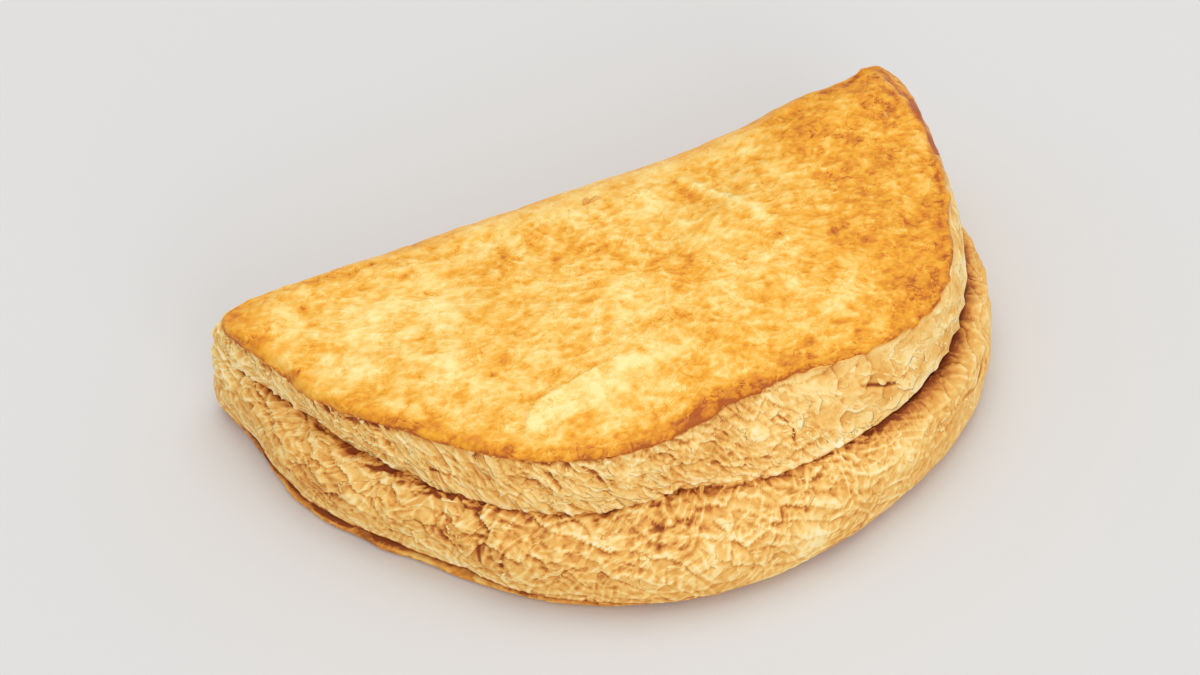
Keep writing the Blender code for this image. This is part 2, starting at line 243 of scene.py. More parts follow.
# Point of the smooth pie at an angle round the heart and a level of its section. Level 0 to 1 is the
# foot, a quarter round; to 2 the lower leaf's ledge, a quarter of a blunt ellipse; to 3 the mouth of the
# seam; to 4 the upper leaf's side, a straight line with a belly; to 5 the rim, an arc that ends as steep
# as the top; to 6 the top in to the heart. The fold's section is an upright line and a quarter ellipse.
# Inset and height are lerp(fold, side, cut). "deeper" and "raised" add to the side's inset and height.
def pieSurface(turn, level, deeper=0, raised=0):
    footX, footY = footLine(turn)
    aheadX, aheadY = footLine(turn + plan["turnStep"])
    behindX, behindY = footLine(turn - plan["turnStep"])
    tangent = np.hypot(aheadX - behindX, aheadY - behindY)
    normalX = -(aheadY - behindY) / tangent
    normalY = (aheadX - behindX) / tangent
    reach = np.hypot(footX, footY - plan["heartBack"])
    inwardX = -footX / reach
    inwardY = (plan["heartBack"] - footY) / reach
    facing = np.maximum(np.abs(inwardX * normalX + inwardY * normalY), plan["leastFacing"])
    bearing = np.degrees(np.arctan2(footX, -footY))
    cut = ease(footY, plan["cutStarts"], plan["cutFull"])

    seam = seamInset(bearing)
    rim = rimInset(bearing)
    gap = lerp(*section["seamGap"], ease(bearing, *section["seamWidens"]))
    gap = gap + bellSum(bearing, section["gapFeatures"])
    undercut = bellSum(bearing, plan["undercut"])
    radius = section["rimRadius"]

    # height of the top at an inset from the foot
    def topAt(inset):
        return crown(footX + inwardX * inset, footY + inwardY * inset)

    # both rounds stop where they are as steep as the top beside them
    rimSlope = np.maximum(topAt(rim + radius + 1) - topAt(rim + radius), 0)
    rimEnd = np.pi / 2 - np.arctan(rimSlope)
    rimBase = topAt(rim + radius * (1 - np.cos(rimEnd))) - radius * np.sin(rimEnd)
    roll = lerp(*section["foldRoll"], np.abs(footX / plan["discRadius"]) ** 3)
    spring = section["foldSpring"]
    rollSlope = np.maximum(topAt((roll + 1) / facing) - topAt(roll / facing), 0)
    rollEnd = np.arctan2(topAt(roll / facing) - spring, rollSlope * roll)
    rollRise = (topAt(roll * (1 - np.cos(rollEnd)) / facing) - spring) / np.sin(rollEnd)

    shares = [np.clip(level - k, 0, 1) for k in range(6)]
    footShare, ledgeShare, mouthShare, sideShare, rimShare, topShare = shares
    below = [level < k for k in (1, 2, 3, 4)]

    # the value of the part that each level lies in
    def byPart(foot, ledge, mouth, side, rest):
        return np.select(below, [foot, ledge, mouth, side], rest)

    seamHeight = section["seamHeight"]
    blunt = 2 / section["ledgeRoundness"]
    footSwing = footShare * np.pi / 2
    ledgeSwing = ledgeShare * np.pi / 2
    rimSwing = rimShare * rimEnd
    ledgeLift = np.sin(ledgeSwing) ** blunt
    ledgeIn = 1 - np.maximum(np.cos(ledgeSwing), 0) ** blunt
    footIn = section["footInset"] * (1 - np.sin(footSwing))
    footUp = section["footHeight"] * (1 - np.cos(footSwing))
    sideIn = lerp(seam - section["overhang"], rim, sideShare) - section["belly"] * np.sin(np.pi * sideShare)
    cutInset = byPart(
        footIn + undercut,
        seam * ledgeIn + undercut * (1 - ledgeShare),
        seam - section["overhang"] * mouthShare,
        sideIn,
        rim + radius * (1 - np.cos(rimSwing)))
    cutHeight = byPart(
        footUp,
        lerp(section["footHeight"], seamHeight, ledgeLift),
        seamHeight + gap * mouthShare,
        lerp(seamHeight + gap, rimBase, sideShare),
        rimBase + radius * np.sin(rimSwing))

    upright, atSeam, aboveSeam, atRim = section["foldShares"]
    share = byPart(
        0 * level,
        atSeam * ledgeShare,
        lerp(atSeam, aboveSeam, mouthShare),
        lerp(aboveSeam, atRim, sideShare),
        lerp(atRim, 1, rimShare))
    lift = np.clip(share / upright, 0, 1)
    swing = np.clip((share - upright) / (1 - upright), 0, 1) * rollEnd
    foldInset = roll * (1 - np.cos(swing)) + np.where(level < 1, footIn, 0)
    foldHeight = lerp(section["footHeight"], spring, lift) + rollRise * np.sin(swing)
    foldHeight = np.where(level < 1, footUp, foldHeight)

    inset = lerp(foldInset / facing, cutInset, cut)
    height = lerp(foldHeight, cutHeight, cut)
    inset = lerp(inset, reach, topShare) + deeper * lerp(0.5, 1, cut)
    x = footX + inwardX * inset
    y = footY + inwardY * inset
    z = lerp(height, crown(x, y), rimShare ** 4) + raised * cut
    return np.stack(np.broadcast_arrays(x, y, z), axis=-1), cut, bearing


# outward normals of a grid whose columns close round on themselves
def gridNormals(grid):
    roundStep = np.roll(grid, -1, axis=1) - np.roll(grid, 1, axis=1)
    upStep = np.gradient(grid, axis=0)
    normal = np.cross(roundStep, upStep)
    return normal / np.maximum(np.linalg.norm(normal, axis=-1, keepdims=True), 1e-9)


# averages a field over its neighbours, again and again; columns close round, rows end
def soften(field, rounds):
    for step in range(rounds):
        field = (np.roll(field, 1, axis=1) + 2 * field + np.roll(field, -1, axis=1)) / 4
        padded = np.concatenate([field[:1], field, field[-1:]])
        field = (padded[:-2] + 2 * field + padded[2:]) / 4
    return field


# signed distance to a line of points (positive on the left of its direction) and the share along it
def offLine(x, y, points):
    points = np.array(points, float)
    lengths = np.hypot(*np.diff(points, axis=0).T)
    starts = np.concatenate([[0], np.cumsum(lengths)])
    nearest = np.full(np.shape(x), 1e9)
    signed = np.zeros(np.shape(x))
    share = np.zeros(np.shape(x))
    for k, (a, b) in enumerate(zip(points, points[1:])):
        step = (b - a) / lengths[k]
        along = np.clip((x - a[0]) * step[0] + (y - a[1]) * step[1], 0, lengths[k])
        dx = x - a[0] - along * step[0]
        dy = y - a[1] - along * step[1]
        distance = np.hypot(dx, dy)
        closer = distance < nearest
        nearest = np.where(closer, distance, nearest)
        signed = np.where(closer, np.where(step[0] * dy - step[1] * dx > 0, distance, -distance), signed)
        share = np.where(closer, (starts[k] + along) / starts[-1], share)
    return signed, share


# Many closed shells as one mesh. rings has shape (shells, rows, columns, 3); each shell's rows run from
# its first pole to its last, its columns turn right-handed about that way, and fans close both poles.
def shellPiece(name, rings, firstPole, lastPole, values):
    shells, rows, columns = rings.shape[:3]
    points = np.concatenate([rings.reshape(shells, -1, 3), firstPole[:, None], lastPole[:, None]], axis=1)
    count = rows * columns + 2
    lower = np.arange((rows - 1) * columns).reshape(rows - 1, columns)
    after = np.roll(lower, -1, axis=1)
    quads = np.stack([lower, after, after + columns, lower + columns], axis=-1).reshape(-1, 4)
    first = np.arange(columns)
    last = first + (rows - 1) * columns
    pole = np.full(columns, count - 2)
    fans = np.concatenate([np.stack([pole, np.roll(first, -1), first], axis=-1),
                           np.stack([pole + 1, last, np.roll(last, -1)], axis=-1)])
    offsets = np.arange(shells)[:, None, None] * count
    allQuads = (quads[None] + offsets).reshape(-1)
    allFans = (fans[None] + offsets).reshape(-1)
    corners = np.concatenate([allQuads, allFans])
    starts = np.concatenate([np.arange(0, len(allQuads), 4), len(allQuads) + np.arange(0, len(allFans), 3)])

    mesh = bpy.data.meshes.new(name)
    mesh.vertices.add(shells * count)
    mesh.vertices.foreach_set("co", ((points + plan["discCentre"]) * mm).astype(np.float32).ravel())
    mesh.loops.add(len(corners))
    mesh.loops.foreach_set("vertex_index", corners.astype(np.int32))
    mesh.polygons.add(len(starts))
    mesh.polygons.foreach_set("loop_start", starts.astype(np.int32))
    for label, field in values.items():
        attribute = mesh.attributes.new(label, "FLOAT", "POINT")
        attribute.data.foreach_set("value", field.astype(np.float32).ravel())
    mesh.update(calc_edges=True)
    mesh.validate()
    mesh.shade_smooth()
    piece = bpy.data.objects.new(name, mesh)
    bpy.context.scene.collection.objects.link(piece)
    print(name, "has", shells * (quads.shape[0] * 2 + fans.shape[0]), "triangles")
    return piece


# a field row by row, with its values at both poles after it
def withPoles(field, firstValue, lastValue):
    return np.concatenate([field.ravel(), [firstValue, lastValue]])


leafPattern = {
    "cutDensity": 5,                 # how much closer together columns lie on the cut side
    "flakePush": (5, 0.5, 0.55),     # size in millimetres, then the pushes along and across in cells
    "flakeTilt": (0.9, 0.35, 0.7),   # rise across, rise along, and how much the flakes' heights differ
    "streakPush": 6, "crestWidth": 0.3, "crestMean": 0.45,
    "shift": 30,
}

leafFlakes = {
    # angle, length, width, lift, groove and its half-width, window of bearings, seed
    "upper": (
        (-36, 10, 3.2, 0.7, 0.2, 0.2, (-200, -150, -38, -8), 21),
        (-28, 4.5, 2.8, 0.6, 0.3, 0.18, (-60, -32, 4, 22), 22),
        (24, 10, 6.5, 0.9, 0.28, 0.16, (4, 22, 120, 150), 23),
    ),
    "lower": (
        (-24, 5.5, 3.2, 0.6, 0.2, 0.18, (-200, -150, 8, 40), 31),
        (30, 8, 4.6, 0.4, 0.14, 0.16, (8, 40, 150, 200), 32),
    ),
}

leafStreaks = {
    # angle, length, width, lift, curl, window of bearings, seed
    "upper": (
        (-38, 11, 1.9, 0.85, 1.4, (-74, -58, -28, -5), 121),
        (-44, 6, 1.0, 0.4, 1.0, (-74, -58, -20, 5), 124),
        (-14, 6, 1.9, 0.8, 2.6, (-200, -150, -70, -54), 127),
        (50, 3.4, 1.4, 0.6, 2.2, (-200, -150, -70, -54), 128),
        (-32, 4.6, 1.4, 0.45, 2.0, (-50, -25, 2, 20), 122),
        (-58, 3.0, 1.0, 0.3, 1.6, (-40, -20, 5, 25), 125),
        (40, 9, 4.0, 0.4, 3.4, (10, 30, 120, 150), 123),
        (-40, 4.2, 2.0, 0.1, 2.4, (15, 40, 120, 150), 126),
    ),
    "lower": (
        (-22, 5.0, 1.8, 0.5, 3.0, (-200, -150, 15, 45), 131),
        (52, 4.0, 1.6, 0.4, 2.6, (-200, -150, 15, 45), 132),
        (84, 12.0, 3.0, 0.8, 1.0, (-54, -48, -38, -32), 133),
        (25, 8.0, 3.4, 0.32, 4.0, (15, 45, 150, 200), 134),
        (-50, 4.4, 2.2, 0.25, 2.2, (15, 45, 150, 200), 135),
    ),
}


# slits torn into a leaf: bearing and height of their points, half-width, depth
leafSlits = {
    "upper": (
        (((-62, 20.5), (-55, 22), (-50, 21.5)), 0.45, 0.7),
        (((6, 27), (9, 24.5), (8, 21.5)), 0.4, 0.7),
        (((24, 26), (30, 24), (33, 24.5)), 0.4, 0.7),
        (((48, 27), (46, 24), (49, 22)), 0.4, 0.6),
    ),
    "lower": (
        (((-20.4, 16.45), (-18.2, 16.0), (-19.3, 14.4)), 0.6, 0.7),
        (((-45, 13), (-44, 8)), 0.5, 0.5),
        (((-41, 13.5), (-40.4, 8)), 0.5, 0.5),
        (((38, 12), (43, 10.5), (46, 12)), 0.5, 0.5),
    ),
}

# paler and smoother flakes: amount, bearing, height, half-widths round and up in millimetres
leafSpots = {
    "upper": (
        (0.3, -24.5, 25, 2.6, 3.2), (0.22, -45, 28, 2.2, 2), (0.2, -11, 27, 3.5, 2.6), (0.2, 2, 25, 3.5, 3),
        (0.22, 17, 27, 5, 3), (0.2, 36, 27, 5, 3), (-0.2, 26, 22.5, 4, 1.6), (-0.16, -6, 22, 5, 1.6),
        (-0.2, -60, 24, 3, 1.5), (-0.4, -84, 25.5, 0.9, 1.6), (-0.35, -80.5, 24.5, 0.8, 2.2),
        (-0.35, -75.5, 26, 1.2, 1.4),
    ),
    "lower": (
        (0.28, 5, 8, 3.6, 4), (0.3, -79, 11.5, 1.8, 1.5), (0.3, -66, 12, 1.8, 1.3), (0.16, -12, 9, 4, 3),
        (-0.2, -52, 12, 5, 2.5), (-0.18, -43, 11, 4, 4), (-0.14, 34, 11, 6, 3), (0.16, 24, 12, 5, 3),
        (-0.2, -72, 9, 5, 1.4), (-0.16, 66, 12, 8, 4),
    ),
}


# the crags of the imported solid: folded value noise like scales, and broad lumps
def packedCrags(bearing, z):
    u = np.radians(bearing) * plan["discRadius"] / relief["cragLength"] + relief["offset"]
    v = z / relief["cragHeight"]
    scales = 1 - 2 * np.abs(latticeNoise(u + relief["cragLean"] * v, v, relief["seed"]))
    lumps = latticeNoise(u / 2, v / 2, relief["seed"] + 1)
    return relief["cragDepth"] * (relief["scaleShare"] * scales + relief["lumpShare"] * lumps)


# broad lumps of the fold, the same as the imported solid's
def foldLumps(x, z):
    size, depth = relief["foldLump"]
    return depth * latticeNoise(x / size + relief["offset"], z / size, relief["seed"] + 3)


# value noise of one length only, for edges that waver
def waver(length, step, seed):
    return latticeNoise(length / step + relief["offset"], 0 * length, seed)


# the same place in axes turned by an angle in degrees
def turned(s, t, degrees):
    turn = math.radians(degrees)
    return s * math.cos(turn) + t * math.sin(turn), t * math.cos(turn) - s * math.sin(turn)


# two unrelated value noises of one size, which push a pattern about
def pushes(s, t, size, seed):
    return latticeNoise(s / size, t / size, seed + 60), latticeNoise(s / size + 9, t / size, seed + 70)


# roof-tile flakes: in each jittered cell the height is lift times a slope that rises towards the cell's
# lower edge, and a groove exp(-(edge / width)^2) runs where two cells meet
def flakeField(s, t, layers, bearing):
    height = np.zeros(np.shape(s))
    pushSize, pushLong, pushWide = leafPattern["flakePush"]
    riseAcross, riseAlong, chanceRise = leafPattern["flakeTilt"]
    shift = leafPattern["shift"]
    for angle, length, width, lift, groove, grooveWidth, limits, seed in layers:
        along, across = turned(s, t, angle)
        firstPush, secondPush = pushes(s, t, pushSize, seed)
        along = along / length + pushLong * firstPush
        across = across / width + pushWide * secondPush
        offU, offV, edge, chance = cellField(along + shift, across + shift, seed)
        tilt = -offV * riseAcross + riseAlong * offU + (chance[..., 0] - 0.5) * chanceRise
        dip = groove * np.exp(-(edge / grooveWidth) ** 2)
        height = height + window(bearing, *limits) * (lift * tilt - dip)
    return height


# curly ridges: thin crests exp(-(noise / width)^2) where stretched value noise crosses zero, its plane
# first pushed about
def streakField(s, t, layers, bearing):
    height = np.zeros(np.shape(s))
    shift = leafPattern["shift"]
    for angle, length, width, lift, curl, limits, seed in layers:
        firstPush, secondPush = pushes(s, t, leafPattern["streakPush"], seed)
        along, across = turned(s + curl * firstPush, t + curl * secondPush, angle)
        noise = cloud(along / length + shift, across / width + shift, seed, 2)
        crest = np.exp(-(noise / leafPattern["crestWidth"]) ** 2)
        height = height + window(bearing, *limits) * lift * (crest - leafPattern["crestMean"])
    return height


# a mark along a line: exp(-(away / halfWidth)^2) * sqrt(sin(pi * share)), the share kept off both ends
def lineMark(away, share, halfWidth, ends):
    return np.exp(-(away / halfWidth) ** 2) * np.sin(np.pi * np.clip(share, ends, 1 - ends)) ** 0.5


# lengths round and up the grid in millimetres, for patterns that follow the surface
def gridLengths(grid):
    middle = grid[len(grid) // 2]
    s = np.concatenate([[0], np.cumsum(np.linalg.norm(np.diff(middle, axis=0), axis=-1))])
    up = np.linalg.norm(np.diff(grid, axis=0), axis=-1)
    t = np.concatenate([np.zeros((1, grid.shape[1])), np.cumsum(up, axis=0)])
    return np.broadcast_to(s, grid.shape[:2]), t


# shares that space points evenly along the ledge's blunt quarter ellipse
def ledgeShares(count):
    share = np.linspace(0, 1, section["ledgeSamples"])
    blunt = 2 / section["ledgeRoundness"]
    inset = plan["seamInset"][0] * (1 - np.maximum(np.cos(share * np.pi / 2), 0) ** blunt)
    height = (section["seamHeight"] - section["footHeight"]) * np.sin(share * np.pi / 2) ** blunt
    run = np.concatenate([[0], np.cumsum(np.hypot(np.diff(inset), np.diff(height)))])
    return np.interp(np.linspace(0, run[-1], count, endpoint=False), run, share)


everywhere = (-400, -300, 300, 400)

glaze = {
    "columns": 720, "cutDensity": 1.6, "topRows": 84, "edgeRows": 34, "innerRows": 15, "innerEdgeRows": 8,
    # length down the fold, in millimetres, at which each level from the foot to the rim is reached
    "foldLengths": (0, 6, 20, 20.6, 33, 38),
    "edgeSpacing": 0.95, "topSpacing": 1.15, "roofReach": 0.9, "roofSpacing": 1.6,
    "thickness": 0.5, "thickerOnTop": 1.0, "proud": 0.25, "least": 0.15, "heartDepth": 1.5,
    "edgeOnCut": 4.3, "edgeOnFold": 0.25, "rightLap": 0.55, "rightLapAt": (62, 76, 120, 150),
    "edgeShifts": ((-0.42, -84, 20), (-0.12, -42, 12), (0.32, 42, 15)),
    # share, length and seed of each waver of the torn edge, its size, and how it grows to the right
    "ragged": 0.13, "raggedWavers": ((1, 3.2, 81), (0.25, 1.3, 82)), "raggedGrows": (0.5, 1.5, -20, 15),
    "cornerWavers": ((1.6, 2.4, 83),),
    "wrinkle": (3.1, 0.14, 41), "fineWrinkle": (1.5, 0.06, 44), "wrinkleShift": 50,    # size, depth, seed
    "rimCrags": 0.35, "dotSize": 2.1, "dotSeed": 61, "dotDepth": 0.15,
    "crest": ((-41.5, -49.5), (-38, -45), (-35.5, -43), (-30, -42.5), (-21.5, -42), (-12.5, -41.2)),
    "crestHeight": 0.8, "crestSlope": 9, "crestStep": 0.5, "crestStart": 0.12, "crestReach": 30,
    "crease": ((16, -3), (21.7, -12.7), (25.5, -23)),
    "creaseHeight": 0.5, "creaseWidth": 1.0,
    # angle, length, width, lift, curl, window of bearings, seed of the thin curly crests
    "streaks": ((-20, 5.0, 1.9, 0.15, 2.6, everywhere, 141), (35, 3.6, 1.5, 0.12, 2.2, everywhere, 142),
                (-60, 2.6, 1.2, 0.07, 1.6, everywhere, 143)),
    # scorched cracks: points, half-width, how much darker, depth
    "scorches": (
        (((60, 1.6), (59.4, -1.5), (60.6, -4)), 0.6, 0.34, 0.35),
        (((62.5, -0.5), (63, -4), (64.4, -7.5)), 0.6, 0.36, 0.4),
        (((57.8, -3.6), (60.2, -6.4), (62.6, -8.6)), 0.6, 0.32, 0.35),
        (((65.5, 3.5), (66.5, 0), (66.8, -3.5)), 0.5, 0.26, 0.3),
        (((58.6, 5), (60.4, 7.2), (63.4, 8.8), (66, 8)), 0.9, 0.6, 0.35),
        (((69.4, 5.5), (70.6, -2), (69.2, -10), (66, -20)), 1.0, 0.9, 0.35),
        (((73, 5.5), (74, 0), (72.6, -8.2), (69.8, -19)), 0.8, 0.9, 0.35),
        (((64.2, -22), (61, -30), (57, -38)), 0.8, 0.22, 0.2),
        (((-56, 6), (-50, 5.4), (-45, 6.2)), 0.8, 0.2, 0.15),
        (((-30, 7.4), (-24, 6.2), (-18, 6.6)), 0.8, 0.2, 0.15),
        (((-2, 2), (5, 0.4), (11, 1.2)), 0.8, 0.18, 0.2),
        (((-38, 1), (-31, 0), (-26, 1.4)), 0.7, 0.16, 0.15),
    ),
    "scorchPush": (0.9, 4), "scorchSeeds": (63, 64), "scorchEnds": 0.06, "scorchLowest": 22,
    # amount, centre across and back, half-widths: how much darker each place of the top is baked
    "patches": (
        (-0.26, -49, -11, 10, 6), (-0.26, -37, -47.5, 5, 3), (-0.28, -29, -46, 7, 3), (-0.28, -21, -44, 8, 3),
        (-0.2, -11, -42, 8, 5), (0.12, 41, -39, 13, 8), (0.12, 22, -53, 13, 4), (0.1, 49, -12, 8, 8),
        (0.14, 51, -47, 8, 5), (-0.16, 19, -29, 10, 7), (0.2, -75, 8, 6, 6), (0.22, -66, -9, 3.5, 2),
        (0.1, -3, -38, 8, 4), (-0.06, -55, -24, 14, 10), (-0.22, 30, -46, 5, 2.5), (-0.12, 30, -12, 8, 5),
        (0.12, 17, -9, 5, 3), (0.12, -27, -8, 7, 3), (-0.12, 36, -1, 6, 3), (-0.1, -9, -30, 7, 4),
        (0.1, 0, -29, 5, 3), (-0.08, -5, 2, 45, 4), (-0.09, 5, -10, 10, 6),
    ),
    # the rest of the baking, each an amount with the two values between which it comes in, and the amounts of
    # the painted highlight along the crease and the painted light and shade at the crest
    "baked": 0.42, "rightBaked": (0.18, 20, 46), "farRightBaked": (0.05, 53, 66), "creaseHighlight": 0.28,
    "band": (0.4, 0.72), "bandDarkest": (-8, 19), "bandNoise": (0.25, 4, 66), "bandFades": (0.65, 22, 42),
    "bandWidth": 3.6, "edgeBaked": (0.3, 0.6), "streaksPale": 1.1, "dotsBaked": 0.22,
    "backBaked": (0.12, 2, 10), "footBaked": (0.18, 2, 14), "mottleFades": (0.4, 20, 50),
    "broadMottle": (0.09, 8, 51), "fineMottle": (0.07, 3.5, 54), "mottleShift": 30,
    "wrinklesPale": 0.105, "crestLightAndShade": 0.1, "softAbove": 0.72, "innerBaked": 0.6, "heartBaked": 0.4,
}


# a value with wavers added to it, each an amount, a length and a seed
def withWavers(value, length, wavers):
    for amount, step, seed in wavers:
        value = value + amount * waver(length, step, seed)
    return value


# how much of the surface is cut and flaky: the cut side, and at the left the whole corner
def flakyShare(turn):
    footX, footY = footLine(turn)
    return np.maximum(ease(footY, plan["cutStarts"], plan["cutFull"]), ease(-footX, *plan["leftCorner"]))


# level of the skin's torn edge: at the rim on the cut side, falling to the foot round the fold, later at
# the left end, where the cut face reaches right round, and lower along the right end's rim
def skinEdge(turn):
    footX, footY = footLine(turn)
    bearing = np.degrees(np.arctan2(footX, -footY))
    cut = ease(footY, plan["cutStarts"], plan["cutFull"])
    s = turn * plan["discRadius"]
    calmest, wildest, left, right = glaze["raggedGrows"]
    tear = glaze["ragged"] * withWavers(0, s, glaze["raggedWavers"])
    tear = tear * lerp(calmest, wildest, ease(bearing, left, right))
    cornerSide = withWavers(-footX, s, glaze["cornerWavers"])
    leftRisen = np.maximum(ease(cornerSide, *plan["leftTear"]), ease(cut, 0.03, 0.4))
    risen = np.where(bearing < 0, leftRisen, ease(cut, 0.1, 0.9))
    atRim = glaze["edgeOnCut"] - glaze["rightLap"] * window(bearing, *glaze["rightLapAt"])
    atRim = atRim + bellSum(bearing, glaze["edgeShifts"])
    return lerp(glaze["edgeOnFold"], atRim, risen) + tear * risen


leafWork = {
    "coverFade": (-0.05, 0.25), "coveredCrags": 0.6, "coveredSink": 0.5,
    "tuck": 1.4, "tuckWidths": (0.08, 0.05),    # where the skin hides the seam, its two lips draw in
    # amount, length in degrees and seed of each waver
    "lipWavers": ((0.45, 4, 92), (0.25, 1.3, 93)), "lipLevels": (1.6, 1.95), "lipBearings": (-100, -84),
    "peelWavers": ((0.35, 6, 90),), "peelLevelWavers": ((0.035, 5, 91),),
    "droopWavers": ((0.35, 5, 191), (0.25, 1.5, 192)), "droopLevels": (3, 3.25), "droopDepths": (0, 5),
    "calm": (0.75, 0, 35), "upperCalm": (0.35, 5, 30),    # share lost, and the bearings where that begins
    "pitLength": 1.7, "pitHeight": 1.5, "pitShift": 20, "pitSeed": 94, "pitLeast": 0.5,
    "slitPushes": ((0.8, 88), (0.6, 89)), "slitPushSize": 3, "slitEnds": 0.08, "slitDepth": 0.9,
    "spotCalm": 2.2, "spotCalmMost": 0.7, "foldLevels": (0.1, 5), "sinkUnderSkin": (2.2, 5, 5.15),
}


# A leaf of the pie as one closed shell. Its rows are (level, deeper, raised); crags and flakes push the
# rows of its side outwards, and it lies a little lower where the skin covers it. The push is
# (crags + flakes * (1 - spots) - slits) * weight, plus the fold's lumps, less what the skin presses down.
def buildLeaf(name, columns, levels, deeper, raised, weights):
    work = leafWork
    turn = turnsRound(columns, leafPattern["cutDensity"])
    level = np.broadcast_to(np.array(levels, float)[:, None], (len(levels), columns))
    deep = np.array(deeper, float)[:, None]
    high = np.array(raised, float)[:, None]
    footX, footY = footLine(turn)
    around = np.degrees(np.arctan2(footX, -footY))[None, :]
    covered = ease(level - skinEdge(turn)[None, :], *work["coverFade"])
    ledgeLip = bell(level, 2, work["tuckWidths"][0]) * (level <= 2)
    upperLip = bell(level, 3, work["tuckWidths"][1]) * (level >= 3)
    inwards = deep + work["tuck"] * covered * np.maximum(ledgeLip, upperLip)
    peel = np.zeros(level.shape)
    if name == "lower":
        pout = section["lipRaise"] * (1 - ease(around, *section["seamWidens"]))
        pout = withWavers(pout, around, work["lipWavers"])
        high = high + pout * ease(level, *work["lipLevels"]) * ease(around, *work["lipBearings"])
        wavy = np.clip(withWavers(level, around, work["peelLevelWavers"]), 0, 2)
        peel = window(around, *relief["peel"]) * withWavers(1, around, work["peelWavers"])
        inwards = inwards + np.interp(wavy, relief["peelLevels"], relief["peelInsets"]) * peel
    else:
        droop = withWavers(0, around, work["droopWavers"])
        droop = droop * (1 - ease(level, *work["droopLevels"]))
        high = high + droop * (1 - ease(deep, *work["droopDepths"]))
    grid, cut, bearing = pieSurface(turn[None, :], level, inwards, high)
    cut = np.broadcast_to(cut, level.shape)
    bearing = np.broadcast_to(bearing, level.shape)
    weight = np.array(weights, float)[:, None] * flakyShare(turn)[None, :]
    z = grid[..., 2]
    s, t = gridLengths(grid)

    flakes = flakeField(s, t, leafFlakes[name], bearing) + streakField(s, t, leafStreaks[name], bearing)
    crags = relief["cragKept"] * packedCrags(bearing, z)
    lost, left, right = work["calm"]
    calm = 1 - lost * ease(bearing, left, right)
    if name == "upper":
        lost, left, right = work["upperCalm"]
        flakes = flakes * (1 - lost * ease(bearing, left, right))
    pits = latticeNoise(s / work["pitLength"], t / work["pitHeight"] + work["pitShift"], work["pitSeed"])
    flakes = flakes - relief["pitDepth"] * calm * np.maximum(pits - work["pitLeast"], 0) * 2
    wayRound = np.radians(bearing) * plan["discRadius"]
    spots = np.zeros(level.shape)
    for amount, centre, middle, halfRound, halfUp in leafSpots[name]:
        offCentre = bell(wayRound, math.radians(centre) * plan["discRadius"], halfRound)
        spots = spots + amount * offCentre * bell(z, middle, halfUp)
    torn = np.zeros(level.shape)
    size = work["slitPushSize"]
    (roundPush, roundSeed), (upPush, upSeed) = work["slitPushes"]
    pushedRound = wayRound + roundPush * latticeNoise(s / size, t / size, roundSeed)
    pushedUp = z + upPush * latticeNoise(s / size, t / size, upSeed)
    for points, halfWidth, depth in leafSlits[name]:
        placed = [(math.radians(a) * plan["discRadius"], b) for a, b in points]
        away, share = offLine(pushedRound, pushedUp, placed)
        torn = torn + depth * lineMark(away, share, halfWidth, work["slitEnds"])
    flakes = flakes * (1 - np.clip(work["spotCalm"] * spots, 0, work["spotCalmMost"]))
    flakes = flakes - work["slitDepth"] * torn

    height = (crags + relief["detailKept"] * flakes) * weight
    lowest, highest = work["foldLevels"]
    lumps = foldLumps(grid[..., 0], z)
    height = height * (1 - work["coveredCrags"] * covered)
    height = height + lumps * (1 - cut) * (level > lowest) * (level < highest)
    sink, start, end = work["sinkUnderSkin"]
    height = height - work["coveredSink"] * covered * (deep == 0) - sink * ease(level, start, end)
    moved = grid + gridNormals(grid) * height[..., None]
    moved[..., 2] = np.where(z > 0, np.maximum(moved[..., 2], relief["least"]), 0)
    made = dict(turn=turn, level=level, cut=cut, bearing=bearing, s=s, t=t, flakes=flakes, weight=weight)
    made.update(height=height, peel=peel * np.ones(level.shape), spots=spots, torn=torn)
    made.update(deep=np.broadcast_to(deep, level.shape))
    return moved, made


crumbShade = {
    "nearRounds": 8, "wideRounds": 40, "near": 0.37, "nearSteep": 1.7, "wide": 0.2, "least": 0.2,
    "cloudSize": 6, "cloudSeed": 95, "cloud": 0.09, "spots": 0.8, "torn": 0.55, "seam": 0.75,
    "seamDepths": (0, 2.2),
}


# tone of the crumb, 0 in the deepest folds and 1 on the palest flakes: base + near * tanh(steep * how far
# a point stands out from close by) + wide * how far from farther off, with clouds, spots and slits. The near
# and wide terms are partly the crumb's own pale flakes and partly painted shade in the folds and painted
# light on what stands out; the slits are darkened with painted shade.
def crumbTone(made, base):
    shade = crumbShade
    near = made["flakes"] - soften(made["flakes"], shade["nearRounds"])
    wide = made["height"] - soften(made["height"], shade["wideRounds"])
    cloudy = cloud(made["s"] / shade["cloudSize"], made["t"] / shade["cloudSize"], shade["cloudSeed"])
    lit = (shade["near"] * np.tanh(shade["nearSteep"] * near) + shade["wide"] * wide)
    lit = lit * (made["weight"] > shade["least"])
    tone = base + lit + shade["cloud"] * cloudy + shade["spots"] * made["spots"]
    return tone - shade["torn"] * np.clip(made["torn"], 0, 1)


# weights of the rows that run into the seam: full depth of the crags at the mouth, little farther in
def seamWeights(shares):
    return list(0.4 * (1 - shares) + 0.08)


